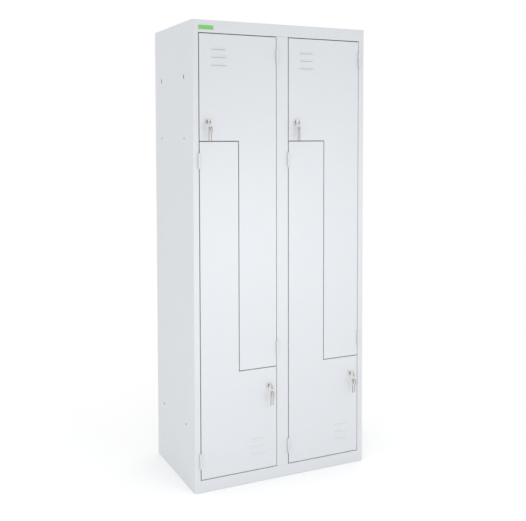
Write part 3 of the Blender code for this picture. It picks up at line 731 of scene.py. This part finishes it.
def outline_points(outline, moved, first_lines, second_lines):
    """The points of grid lines along an outline, placed on the same outline moved in or out.

    A side keeps its lines' values, held between the corners that the moved side has.
    """
    points = []
    for start, stop, new, next_new in zip(outline, np.roll(outline, -1, 0), moved, np.roll(moved, -1, 0)):
        way = int(abs(stop[1] - start[1]) > abs(stop[0] - start[0]))
        lines = (first_lines, second_lines)[way]
        ends = sorted((start[way], stop[way]))
        lines = lines[(lines > ends[0] + 1e-6) & (lines < ends[1] - 1e-6)]
        if start[way] > stop[way]:
            lines = lines[::-1]
        side_points = np.tile(new, (len(lines) + 1, 1))
        side_points[1:, way] = np.clip(lines, min(new[way], next_new[way]), max(new[way], next_new[way]))
        points.append(side_points)
    return np.vstack(points)


def within(outline, first, second):
    """Whether points lie inside an outline: an odd number of its upright sides lies beyond them."""
    beyond = np.zeros(first.shape, int)
    for start, stop in zip(outline, np.roll(outline, -1, 0)):
        spans = (second > min(start[1], stop[1])) & (second < max(start[1], stop[1]))
        beyond += spans & (start[0] > first) & (abs(start[0] - stop[0]) < 1e-6)
    return beyond % 2 == 1


def tray(name, outline_at, in_space, edge, edge_return, facing, lines=((), ()), holes=(), lift=None,
         cut=None):
    """The outer face of a tray; in_space(first, second, depth) places its points.

    The rim's margin and depth:  bend * (1 - sin a), bend * (1 - cos a)  at the first fold, then the edge,
    then  bend * (1 - cos a), edge - bend * (1 - sin a)  at the second fold, and the return.
    """
    base = outline_at(tray_bend)
    guard = outline_at(past_bend)
    grid = [np.concatenate([base[:, way], guard[:, way], lines[way]]) for way in (0, 1)]
    first, second, keep = pierced(*grid, holes)
    middles = [cell_middles(first), cell_middles(second)]
    keep &= within(base, *middles)
    height = 0.0 * first if lift is None else lift(first, second)
    if cut is not None:
        keep &= ~cut(*middles)
    numbers = np.arange(first.size).reshape(first.shape)
    faces = quads(numbers)[keep.ravel()].tolist()
    flat = in_space(first.ravel(), second.ravel(), -height.ravel())

    angle = np.linspace(0, math.pi / 2, tray_steps + 1)
    by_sine, by_cosine = tray_bend * (1 - np.sin(angle)), tray_bend * (1 - np.cos(angle))
    margins = np.concatenate([by_sine, [0.0, 0.0], by_cosine, [past_bend, edge_return]])
    depths = np.concatenate([by_cosine, [past_bend, edge - past_bend], edge - by_sine, [edge, edge]])
    rim = []
    for margin, depth in zip(margins, depths):
        ring = outline_points(base, outline_at(margin), first[:, 0], second[0])
        rim.append(in_space(ring[:, 0], ring[:, 1], np.full(len(ring), depth)))
    rim = np.stack(rim)
    numbers = first.size + np.arange(rim[..., 0].size).reshape(rim.shape[:2])
    faces += quads(np.hstack([numbers, numbers[:, :1]])).tolist()
    return mesh_from(name, np.vstack([flat, rim.reshape(-1, 3)]), faces, facing=facing)


# %% [markdown]
# ### Shelves
#
# Each column has two shelves, one at each step of the Z.  An upper shelf hangs on one wall and a lower one
# on the other, so that together with the upright divider they make the Z behind the doors.

# %% Shelves
shelf_rise = 0.0235
shelf_edge = 0.0250
shelf_return = 0.0080
side_inside = side - sheet - weld_gap


def shelf(name, left, right, level):
    """A level tray whose folded edges point down."""
    def outline_at(margin):
        """Corners of the shelf, moved in by a margin."""
        a, b = left + margin, right - margin
        c, d = shelf_front + margin, floor_back - margin
        return np.array([(a, c), (b, c), (b, d), (a, d)])

    def in_space(first, second, depth):
        """Depth counts down from the shelf's level."""
        return together(first, second, level - depth)

    return tray(name, outline_at, in_space, shelf_edge, shelf_return, (0, 0, 1))


for word, (left, right) in columns.items():
    wall = (left + right) / 2 - sheet / 2
    starts = {"left": -side_inside, "right": sheet / 2 + weld_gap}
    stops = {"left": -sheet / 2 - weld_gap, "right": side_inside}
    upper_shelf = shelf("upper_tray_" + word, starts[word], wall - weld_gap, upper_step + shelf_rise)
    lower_shelf = shelf("lower_tray_" + word, wall, stops[word], lower_step + shelf_rise)
    for level, mesh in (("upper", upper_shelf), ("lower", lower_shelf)):
        add_piece(mesh, inside_paint, "cabinet", level + "_shelf_" + word, thick=sheet)
print("shelves of", len(upper_shelf.polygons), "faces")

# %% [markdown]
# ### Rivets and coat hooks
#
# The shelves are held by countersunk rivets through the panels.  Their zinc plated heads are flush and have
# a shallow hollow, and their zinc is painted very dark as painted shade, as of open holes, so on the pale
# paint they show as small dark discs.  A double hook, folded from strip, hangs below each ceiling.

# %% Flush rivets
rivet_sides = 24
rivet_face, rivet_hollow, rivet_back = 0.0001, 0.0006, 0.0014
hollow_middle, hollow_radius, hollow_rim = 0.0003, 0.0014, 0.0018


def flush_rivet(x, y, z):
    """A disc in a panel's hole, a tenth of a millimetre low, with a round hollow in its middle."""
    profile = [(hollow_middle, rivet_hollow), (hollow_radius, rivet_hollow), (hollow_rim, rivet_face),
               (rivet_radius, rivet_face), (rivet_radius, rivet_back)]
    rings = turned_rings(profile, "X", (0.0, 0.0, 0.0), rivet_sides)
    rings[..., 0] *= -math.copysign(1, x)
    return loft("rivet", rings + np.array((x, y, z)))


rivets = [flush_rivet(x, mark, rivet_levels[word]) for mark in mark_columns
          for x, word in ((-side, "left"), (side, "right"), (sheet / 2, "right"), (-sheet / 2, "left"))]
# Very dark zinc heads: painted shade, as of open holes.
add_piece(joined("shelf_rivets", rivets), dull_zinc, "cabinet")
print(len(rivets), "rivets")

# %% Coat hooks
hook_bend, hook_thick, hook_half_width, hook_rounding = 0.006, 0.003, 0.0100, 0.0008
strap_half, hook_drop, hook_reach, hook_tip = 20, 45, 25, 18


def coat_hook(name, middle, ceiling):
    """A strip folded into two hooks below a strap; its sizes are in millimetres."""
    tip = strap_half + hook_reach
    hook = [(tip, hook_drop - hook_tip), (tip, hook_drop), (strap_half, hook_drop), (strap_half, 0)]
    corners = []
    for way in (-1, 1):
        corners += [(middle + way * out / 1000, ceiling - down / 1000) for out, down in hook][::-way]
    line = folded(corners, -1, inner=hook_bend, thick=hook_thick)
    return folded_panel(name, line, "Y", -hook_half_width, hook_half_width)


for word, (left, right) in columns.items():
    middle = (left + right) / 2
    ceilings = {"under_roof_": ((middle + right) / 2, top - sheet),
                "under_shelf_": ((left + middle) / 2, upper_step + shelf_rise - sheet)}
    for where, (place, ceiling) in ceilings.items():
        hook = coat_hook("coat_hook_" + where + word, place, ceiling)
        add_piece(hook, inside_paint, "cabinet", rounded=hook_rounding)
print("coat hooks hang", hook_drop, "mm below their ceilings")

# %% [markdown]
# ## Doors
#
# A door is a tray with an L for its outline.  The lower door of a column is the upper one turned by half a
# turn, but the louvres of both open downward.  A louvre is pressed out of the sheet: it is cut along its
# lower lip and drawn forward, so the grid is lifted above the lip and a row of cells below it is left out.

# %% Louvres
louvre_length = 0.0660
louvre_height = 0.0100
louvre_depth = 0.0024
louvre_slope = 0.0070
louvre_slot = 0.0003
louvre_pitch = 0.0303
louvres_aside, louvres_below_top, louvres_above_floor = 0.0480, 0.0600, 0.0690
lip_flat = 0.1
lip_slack = 0.001


def ease(share):
    """A smooth step: (1 - cos(pi * share)) / 2 between 0 and 1."""
    return (1 - np.cos(math.pi * np.clip(share, 0, 1))) / 2


def louvre_places(left, right, upper):
    """Left end and the lips of a door's louvres."""
    edge = door_gap / 2 + louvres_aside
    steps = louvre_pitch * np.arange(3)
    if upper:
        return left + edge, top - rail - door_gap / 2 - louvres_below_top - steps
    return right - edge - louvre_length, rail + door_gap / 2 + louvres_above_floor + steps


def louvre_lines(start, lips):
    """Grid lines across a louvre's ends and up its hood."""
    slope = louvre_slope * np.linspace(0, 1, 8)
    beside = [start - shoulder, start + louvre_length + shoulder]
    first = np.concatenate([start + slope, start + louvre_length - slope, beside])
    rise = np.concatenate([[-louvre_slot - shoulder, -louvre_slot], louvre_height * np.linspace(0, 1, 11),
                           [louvre_height + shoulder]])
    return first, (lips[:, None] + rise).ravel()


def louvre_lift(start, lips, first, second):
    """Height = depth * end * brow: end eases in from both ends, brow stays full over the lip's flat and
    eases out to the top.
    """
    end = ease(np.minimum(first - start, start + louvre_length - first) / louvre_slope)
    brow = np.zeros(first.shape)
    for lip_level in lips:
        share = (second - lip_level) / louvre_height
        brow += np.where(share > -lip_slack, 1 - ease((share - lip_flat) / (1 - lip_flat)), 0.0)
    return louvre_depth * end * brow


def louvre_cut(start, lips, first, second):
    """Cells of the slots below the lips."""
    across = (first > start) & (first < start + louvre_length)
    slot = np.zeros(first.shape, bool)
    for lip_level in lips:
        slot |= (second < lip_level) & (second > lip_level - louvre_slot)
    return across & slot


# %% Door skins
door_depth = 0.0160
door_return = 0.0100
right_gap = 0.0022
lock_hole = 0.0083
hat_web, hat_foot, hat_reach, hat_inset = 0.0200, 0.0320, 0.0110, 0.0600


def door_outline(left, right, upper, margin):
    """Corners of a door's L, moved in by a margin; a lower door is half a turn of the upper one."""
    middle = (left + right) / 2
    edge = door_gap / 2 + margin
    short_side, long_side = (door_gap, right_gap) if upper else (right_gap, door_gap)
    x0, x1, x2 = left + short_side + margin, middle + edge, right - long_side - margin
    z0, z1, z2 = lower_step + edge, upper_step + edge, top - rail - door_gap - margin
    corners = np.array([(x0, z1), (x1, z1), (x1, z0), (x2, z0), (x2, z2), (x0, z2)])
    return corners if upper else np.array([left + right, top]) - corners


def on_face(first, second, depth):
    """The doors' flats lie in the plane of the frame."""
    return together(first, front + depth, second)


def door_skin(name, left, right, upper, lock):
    """A tray with a door's outline, its louvres and the hole for its lock."""
    start, lips = louvre_places(left, right, upper)
    return tray(name, lambda margin: door_outline(left, right, upper, margin), on_face, door_depth,
                door_return, (0, -1, 0), lines=louvre_lines(start, lips),
                holes=[round_hole(lock.x, lock.z, lock_hole)],
                lift=lambda first, second: louvre_lift(start, lips, first, second),
                cut=lambda first, second: louvre_cut(start, lips, first, second))


def door_stiffener(name, left, right, upper):
    """Hat channel inside the skin, along the leg that runs the door's full height."""
    centre = ((right if upper else left) + (left + right) / 2) / 2
    near = front + sheet
    half = [(hat_foot, 0), (hat_web, 0), (hat_web, hat_reach)]
    hat = [(-aside, deep) for aside, deep in half] + half[::-1]
    line = folded([(centre + aside, near + deep) for aside, deep in hat], 1)
    start, stop = (lower_step, top - rail) if upper else (rail, upper_step)
    return folded_panel(name, line, "Z", start + hat_inset, stop - hat_inset)


doors = {level + "_" + word: (*ends, level == "upper")
         for word, ends in columns.items() for level in ("upper", "lower")}
for name, (left, right, upper) in doors.items():
    skin = door_skin("door_skin_" + name, left, right, upper, box_middle("lock_barrel_" + name))
    add_piece(skin, door_paint, "door_" + name, "door_panel_" + name, thick=sheet)
    add_piece(door_stiffener("door_channel_" + name, left, right, upper), door_paint, "door_" + name)
print("door skins of", len(skin.polygons), "faces")

# %% [markdown]
# ## Hinges
#
# Each door hangs on two lift-off hinges.  The frame's half is a solid knuckle with a pin on top, and the
# door's half is a tube with a closed end that sits on the pin.  Their line stands two millimetres to the
# frame's side of the gap, and a flat leaf behind each knuckle is welded into the gap.

# %% Hinges
hinge_aside = 0.0020
hinge_radius = 0.0045
hinge_bore = 0.0025
hinge_length = 0.0600
hinge_cap = 0.0030
leaf_root = 0.0018
leaf_reach = 0.0140
play = 0.0003
hinge_line = front - hinge_radius - play
pin_radius = 0.0021
tube_rounding, pin_rounding = 0.0006, 0.0005
knuckle_end_disc, pin_end_disc = 0.0006, 0.0003
frame_edge = door_gap / 2 - hinge_aside - play


def hinge_half(name, x, corners, rounding, edges, low_end, high_end):
    """A turned knuckle, and the leaf behind it between two edges."""
    knuckle = turned(name, rounded_profile(corners, rounding), "Z", (x, hinge_line, 0.0))
    near, far = hinge_line + leaf_root, front + leaf_reach
    a, b = sorted(edges)
    rings = [[(a, near, z), (b, near, z), (b, far, z), (a, far, z)] for z in (low_end, high_end)]
    return joined(name, [knuckle, loft(name, np.array(rings))])


for name, (left, right, upper) in doors.items():
    x = right - door_gap / 2 + hinge_aside if upper else left + door_gap / 2 - hinge_aside
    way = -1 if upper else 1
    door_edge = (right_gap if upper else door_gap) - door_gap / 2 + hinge_aside
    for which in ("_bottom", "_top"):
        node = "hinge_pin_half_" + name + which
        level = low(node).z + hinge_length / 2
        low_end, high_end = level - hinge_length / 2, level + hinge_length / 2
        tube_end, knuckle_end, pin_end = level + play / 2, level - play / 2, high_end - hinge_cap - play
        corners = [(hinge_bore, high_end - hinge_cap), (hinge_bore, tube_end), (hinge_radius, tube_end),
                   (hinge_radius, high_end), (knuckle_end_disc, high_end)]
        edges = (x + way * door_edge, x + way * (door_edge - sheet))
        tube = hinge_half("hinge_tube_" + name + which, x, corners, tube_rounding, edges, tube_end, high_end)
        add_piece(tube, door_paint, "door_" + name)
        corners = [(knuckle_end_disc, low_end), (hinge_radius, low_end), (hinge_radius, knuckle_end),
                   (pin_radius, knuckle_end), (pin_radius, pin_end), (pin_end_disc, pin_end)]
        edges = (x - way * frame_edge, x - way * (frame_edge - sheet))
        pin = hinge_half("hinge_pin_" + name + which, x, corners, pin_rounding, edges, low_end, knuckle_end)
        add_piece(pin, cabinet_paint, "cabinet", node)
print("hinges of", len(tube.polygons), "and", len(pin.polygons), "faces")

# %% [markdown]
# ## Locks
#
# A cam lock is a turned housing with a round bezel, held from behind by a nut.  Its core turns in it,
# carries the cam on a square tail and has the keyway cut into its face.  A ring round the lock's axis may
# have its own radius at each angle, so the keyway, the square tail and the nut's hexagon are rings as well.

# %% Rings round a lock's axis
lock_angle = angles(turned_sides)
lock_sharp = 30


def rectangle(half_x, half_z):
    """Radius = the lesser of  half_x / |cos angle|  and  half_z / |sin angle|."""
    return np.minimum(half_x / abs(np.cos(lock_angle)), half_z / abs(np.sin(lock_angle)))


def hexagon(flats, corners):
    """Radius = the lesser of  flats / cos(angle within a side)  and the radius of the turned corners."""
    within_side = lock_angle % (math.pi / 3) - math.pi / 6
    return np.minimum(flats / np.cos(within_side), corners)


def through_rings(name, rows, centre, hoop=False):
    """A body through rings of (radius, place): points at (radius cos angle, place, radius sin angle)."""
    cos, sin = np.cos(lock_angle), np.sin(lock_angle)
    rings = [together(radius * cos, place, radius * sin) for radius, place in rows]
    return loft(name, np.stack(rings) + np.array(centre), hoop=hoop, sharp=lock_sharp)


# %% Lock parts
bezel_radius, dish_radius, dish_depth, bezel_rounding = 0.0100, 0.0082, 0.0009, 0.0005
bore_radius, tube_radius, off_face, plain_end = 0.0053, 0.0079, 0.0003, 0.0020
thread_start, thread_stop, thread_pitch, thread_crest, thread_root = 0.0055, 0.0010, 0.0005, 0.0080, 0.0076
core_radius, core_break = 0.0050, 0.0003
keyway_from_end, tail_from_end, head_from_end, head_break = 0.0067, 0.0041, 0.0015, 0.0006
head_back, head_radius, head_face = 0.0047, 0.0048, 0.0040
keyway, keyway_mouth, tail = rectangle(0.0013, 0.0038), rectangle(0.0016, 0.0041), rectangle(0.0029, 0.0029)
nut_flats, nut_corners, nut_break, nut_inset = 0.0108, 0.0122, 0.0005, 0.0002


def lock_housing(name, centre, near, far):
    """Bezel with a dished face, and a threaded tube behind it."""
    corners = [(bore_radius, far), (bore_radius, near + dish_depth), (dish_radius, near),
               (bezel_radius, near), (bezel_radius, -off_face),
               (tube_radius, -off_face), (tube_radius, plain_end)]
    thread = np.arange(thread_start, far - thread_stop, thread_pitch)
    ridges = np.where(np.arange(len(thread)) % 2, thread_crest, thread_root)
    profile = [rounded_profile(corners, bezel_rounding), together(ridges, thread), [(tube_radius, far)]]
    return turned(name, np.vstack(profile), "Y", centre, hoop=True)


def lock_core(name, centre, near, far):
    """From the keyway's bottom out to the face, back along the core, its square tail and the tail's head."""
    keyway_end, tail_start, head = far - keyway_from_end, far - tail_from_end, far - head_from_end
    return through_rings(name, [
        (keyway, keyway_end), (keyway, near + core_break), (keyway_mouth, near),
        (core_radius - core_break, near), (core_radius, near + core_break), (core_radius, tail_start),
        (tail, tail_start), (tail, head), (head_back, head), (head_radius, far - head_break),
        (head_face, far),
    ], centre)


def lock_nut(name, centre, near, far):
    """A chamfered hexagon nut."""
    sides, face, mouth = hexagon(nut_flats, nut_corners), nut_flats - nut_inset, lock_hole + core_break
    return through_rings(name, [
        (lock_hole, near + core_break), (mouth, near), (face, near), (sides, near + nut_break),
        (sides, far - nut_break), (face, far), (mouth, far), (lock_hole, far - core_break),
    ], centre, hoop=True)


# %% [markdown]
# ## Flat plates: keys and cams
#
# A key and a cam are stamped from flat strip.  Each is a plate whose half width is a function of its
# length, so a point lies at  x = share * half width(z).  The hole is left out of the grid and bent round,
# and a Bevel modifier breaks the edges.

# %% A flat plate
plate_block = 1.4


def flat_plate(name, width_of, shares, levels, hole, half_thick, placed):
    """Grid over (share, level), with x = share * half width on either side.

    The hole is at the origin: half its width as a share, half its height, and whether it is round.
    placed(x, z, through) gives the place in space.
    """
    def flat(share, level):
        """x = share * the half width on its side; z = level."""
        near, far = width_of(level)
        return np.where(share < 0, share * near, share * far), level + 0.0 * share

    x, z, keep = pierced(np.array(shares), np.array(levels), [(0.0, 0.0, *hole)], flat, plate_block)
    thick = half_thick(x, z)
    points = np.stack([placed(x, z, -thick), placed(x, z, thick)])
    faces = plate_faces(keep)
    wall = np.arange(len(faces)) >= 2 * np.count_nonzero(keep)
    return mesh_from(name, points, faces, wall=wall.astype(np.float32))


# %% [markdown]
# ### Keys
#
# The bow is a rounded rectangle, and the blade has a milled groove on both faces and four cuts on one edge.

# %% Keys
bow_half, bow_length, bow_corner = 0.0100, 0.0260, 0.0080
blade_half, blade_length, key_end = 0.0035, 0.0315, 0.0020
hole_radius, hole_from_end = 0.0035, 0.0055
key_half_thick = 0.0010
groove_half, groove_depth, groove_wall, groove_slack = 0.0011, 0.00035, 0.06, 1.02
cut_depths, cut_width, cut_pitch, first_cut = (0.0010, 0.0016, 0.0007, 0.0013), 0.0030, 0.0060, 0.0035
bow_middle = hole_from_end - bow_length / 2
bow_bottom = hole_from_end - bow_length
tip = bow_bottom - blade_length
groove_start, groove_stop = tip + 0.0015, bow_bottom - 0.0008
first_row, last_row = tip + 0.001, bow_bottom - 0.0004


def key_width(level):
    """Half widths to both sides.

    Bow: half - corner + sqrt(corner squared - reach squared) beyond the straight part.  The blade's far side
    loses the depth of each V cut:  depth * (1 - distance from the cut's middle / half its width).
    """
    reach = np.maximum(abs(level - bow_middle) - bow_length / 2 + bow_corner, 0)
    bow = bow_half - bow_corner + np.sqrt(np.maximum(bow_corner ** 2 - reach ** 2, 0))
    bow = np.where(level > bow_bottom - 1e-7, bow, 0)
    blade = blade_half - np.maximum(tip + key_end - level, 0)
    far = blade
    for index, depth in enumerate(cut_depths):
        middle = tip + first_cut + index * cut_pitch + cut_width / 2
        far = far - depth * np.maximum(1 - abs(level - middle) / (cut_width / 2), 0)
    return np.maximum(bow, blade), np.maximum(bow, far)


def key_thickness(x, z):
    """Thinner by the groove's depth along the blade's middle."""
    in_groove = (abs(x) < groove_half * groove_slack) & (z < groove_stop) & (z > groove_start)
    return np.where(in_groove, key_half_thick - groove_depth, key_half_thick)


def key(name, placed):
    """A plate with rows round the bow's corners and at each cut, and with columns at the groove's walls."""
    quarter = np.sin(np.linspace(0, math.pi / 2, 7)) * bow_corner
    straight = bow_length / 2 - bow_corner
    number = np.arange(len(cut_depths))[:, None]
    cuts = tip + first_cut + number * cut_pitch + np.array([0, 0.5, 1]) * cut_width
    ends = [tip, first_row, groove_start, tip + key_end, groove_stop, last_row]
    levels = [bow_middle - straight - quarter, bow_middle + straight + quarter, cuts.ravel(), ends]
    groove = groove_half / blade_half
    wall = groove + groove_wall
    shares = np.concatenate([np.linspace(-1, 1, 9), [-wall, -groove, groove, wall]])
    hole = (hole_radius / key_width(np.float64(0.0))[0], hole_radius, True)
    return flat_plate(name, key_width, shares, np.concatenate(levels), hole, key_thickness, placed)


# %% Cams
cam_half_thick = 0.0010
crank_start, crank_end = 0.0100, 0.0240
cam_hub, cam_hole = 0.0080, 0.0033
hub_start = 0.12
arm_levels = (0.0, 0.0090, crank_start, 0.0445, 0.0460)
arm_half_widths = (cam_hub, cam_hub, 0.0076, 0.0055, 0.0042)


def cam_width(level):
    """A round hub, sqrt(hub squared - level squared), then an arm that narrows to its rounded tip."""
    hub = np.sqrt(np.maximum(cam_hub ** 2 - np.minimum(level, 0) ** 2, 0))
    width = np.where(level < 0, hub, np.interp(level, arm_levels, arm_half_widths))
    return width, width


def cam(name, placed):
    """A plate with rows round the hub and along the crank."""
    hub = -cam_hub * np.cos(np.linspace(hub_start, math.pi / 2, 9))
    crank = np.linspace(crank_start, crank_end, 9)
    levels = np.concatenate([hub, [arm_levels[1]], crank, [arm_levels[3], 0.0450, arm_levels[4]]])
    return flat_plate(name, cam_width, np.linspace(-1, 1, 9), levels, (cam_hole / cam_hub, cam_hole, False),
                      lambda x, z: np.full(x.shape, cam_half_thick), placed)


# %% [markdown]
# ### Key rings
#
# A split ring is a wire wound twice round.  Its two turns lie side by side and step over where one ends and
# the next begins.

# %% Split rings
ring_radius, wire_radius, half_step = 0.0100, 0.00038, 0.0004
wire_sides, wire_rings = 10, 97
first_turn, last_turn, turned_by = 0.02, 1.98, 1.0
step_start, step_length = 0.93, 0.14


def split_ring(name, centre):
    """Wire middle at angle a:  (R cos a, step, R sin a),  where the step eases from one turn to the next.

    A point round the wire is its middle plus  wire radius * (outward * cos b + along the axis * sin b).
    """
    turns = np.linspace(first_turn, last_turn, wire_rings)
    angle = 2 * math.pi * turns + turned_by
    aside = half_step * (2 * ease((turns - step_start) / step_length) - 1)
    outward = together(np.cos(angle), 0.0, np.sin(angle))
    middle = outward * ring_radius + together(0.0, aside, 0.0)
    around = 2 * math.pi * np.arange(wire_sides)[:, None] / wire_sides
    wire = outward[:, None] * np.cos(around) + np.array([0, 1, 0]) * np.sin(around)
    return loft(name, middle[:, None] + wire * wire_radius + np.array(centre))


# %% [markdown]
# ## A lock on every door
#
# The boxes of the CAD nodes give the places.  The cam is cranked, so that its tip passes just behind the
# frame's lip while its hub sits at the far end of the long housing.  A key in its lock has its bow toward
# the front, and the two spare keys hang below the wire with their holes 5.5 mm under their tops.

# %% Locks, keys and rings
spare_turns = {"_a": math.radians(-20), "_b": math.radians(8)}
edge_on = math.radians(-24)
key_rounding, cam_rounding = 0.0002, 0.0003
turned_parts = (("lock_housing_", lock_housing, nickel, "door_", "lock_barrel_"),
                ("hexagon_nut_", lock_nut, zinc, "door_", "lock_nut_"),
                ("lock_core_", lock_core, core_metal, "lock_", "lock_plug_"))

for name, (left, right, upper) in doors.items():
    lock, axis = "lock_" + name, box_middle("lock_barrel_" + name)
    for part, shape, finish, body, node in turned_parts:
        near, far = low(node + name).y - front, high(node + name).y - front
        add_piece(shape(part + name, (axis.x, front, axis.z), near, far), finish, body + name, node + name)

    hub = high("lock_cam_" + name).y - cam_half_thick
    tip_step = low("lock_cam_" + name).y + cam_half_thick - hub
    up = 1 if upper else -1

    def cranked(x, z, through):
        """Middle of the sheet = hub + step * ease(share of the crank)."""
        bend = tip_step * ease((z - crank_start) / (crank_end - crank_start))
        return together(axis.x + x, hub + bend + through, axis.z + up * z)

    add_piece(cam("cam_arm_" + name, cranked), zinc, lock, "lock_cam_" + name, rounded=cam_rounding)

    hole = low("key_" + name).y + hole_from_end
    in_lock = key("key_in_lock_" + name,
                  lambda x, z, through: together(axis.x + through, hole - z, axis.z + x))
    add_piece(in_lock, key_plate, lock, "key_" + name, rounded=key_rounding)

    ring = split_ring("split_ring_" + name, box_middle("key_ring_" + name))
    add_piece(ring, nickel, "ring_" + name, "key_ring_" + name)
    for which, turn in spare_turns.items():
        if name + which == "upper_right_b":
            turn = edge_on
        node = "spare_key_" + name + which
        middle, wire = box_middle(node), high(node).z - hole_from_end
        cos, sin = math.cos(turn), math.sin(turn)
        spare = key("hanging_key_" + name + which, lambda x, z, through: together(
            middle.x + through * cos - x * sin, middle.y + through * sin + x * cos, wire + z))
        add_piece(spare, key_plate, "spare_keys_" + name, node, rounded=key_rounding)
print("each key has", len(spare.polygons), "faces")

# %% [markdown]
# ## Label plate
#
# A small green plate sits on the rail.  It is left bare.

# %% Label
label_corner, label_sides = 0.0012, 32
label_insets = (0.0, 0.0, 0.0002, 0.0006)
label_heights = (0.0003, 0.0001, 0.0)


def label(name, lowest, highest):
    """Rings of a rounded rectangle from the back of the plate to its slightly domed face.

    A point is the nearest corner's centre + (corner radius - inset) * (cos angle, sin angle).
    """
    middle, half = (lowest + highest) / 2, (highest - lowest) / 2
    spoke = together(np.cos(angles(label_sides)), 0.0, np.sin(angles(label_sides)))
    centre = np.sign(spoke) * (half.x - label_corner, 0, half.z - label_corner)
    rings = []
    for inset, place in zip(label_insets, (highest.y, *[lowest.y + height for height in label_heights])):
        ring = centre + spoke * (label_corner - inset)
        ring[:, 1] = place - middle.y
        rings.append(ring)
    return loft(name, np.stack(rings) + np.array(middle))


label_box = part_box("label_plate")
add_piece(label("label_face", *label_box), label_green, "cabinet", "label_plate")
print("label plate", np.round(np.array(label_box[1] - label_box[0]) * 1000, 1), "mm")

# %% [markdown]
# ## Studio
#
# The photograph has a white ground and very even light, which is strongest half way up the doors.  So the
# world is white, the floor is nearly white and glows a little, one soft light stands in front of the middle
# of the doors and a weaker one low on their left.  The world is a little darker in one direction behind the
# camera, which the plated locks mirror.

# %% Floor
floor_half = 240
floor_level = -0.0004

paper, shader, place = new_finish("floor_paper", Roughness=0.9, Emission_Strength=0.055)
paper_white = between(noise(place, 1.5, 2.0), (0.960, 0.960, 0.960), (0.970, 0.970, 0.970))
place.feed(shader, {"Base Color": paper_white, "Emission Color": (1.0, 1.0, 1.0, 1.0)})

reach = np.linspace(-floor_half, floor_half, 13)
floor_x, floor_y = np.meshgrid(reach, reach, indexing="ij")
floor_faces = quads(np.arange(floor_x.size).reshape(floor_x.shape)).tolist()
floor_mesh = mesh_from("floor", together(floor_x, floor_y, floor_level), floor_faces, facing=(0, 0, 1))
floor_mesh.materials.append(paper)
floor = bpy.data.objects.new("floor", floor_mesh)
bpy.context.scene.collection.objects.link(floor)
print("the floor reaches", floor_half, "m to every side")

# %% Light
world = bpy.data.worlds.new("studio")
world.use_nodes = True
bpy.context.scene.world = world
sky = Signal(world.node_tree)
direction = sky.node("TexCoord", output="Generated")
dark_way = {0: direction, 1: (0.42, -0.88, 0.05)}
toward = sky.node("VectorMath", {"operation": "DOT_PRODUCT"}, dark_way, output="Value")
spot = sky.node("MapRange", {"interpolation_type": "SMOOTHSTEP"},
                {"Value": toward, "From Min": 0.90, "From Max": 0.99, "To Min": 0.0, "To Max": 1.0})
light = between(spot, (1.0, 1.0, 1.0), (0.60, 0.60, 0.61))
sky.feed(world.node_tree.nodes["Background"], {"Color": light, "Strength": 1.0})


def soft_box(name, place, aim, size, power):
    """A square light of so many watts at a place, shining at the point that it is aimed at."""
    lamp = bpy.data.lights.new(name, "AREA")
    lamp.size = size
    lamp.energy = power
    box = bpy.data.objects.new(name, lamp)
    turn = (Vector(place) - Vector(aim)).to_track_quat("Z", "Y").to_matrix().to_4x4()
    box.matrix_world = Matrix.Translation(place) @ turn
    box.visible_camera = False
    bpy.context.scene.collection.objects.link(box)


soft_box("soft_box_middle", (0.15, -1.25, 1.00), (0.15, -0.25, 1.00), 0.7, 2.2)
soft_box("soft_box_low_left", (-0.65, -1.25, 0.60), (-0.25, -0.25, 0.60), 0.5, 1.5)
bpy.context.scene.view_settings.view_transform = "Standard"
print("two soft lights")
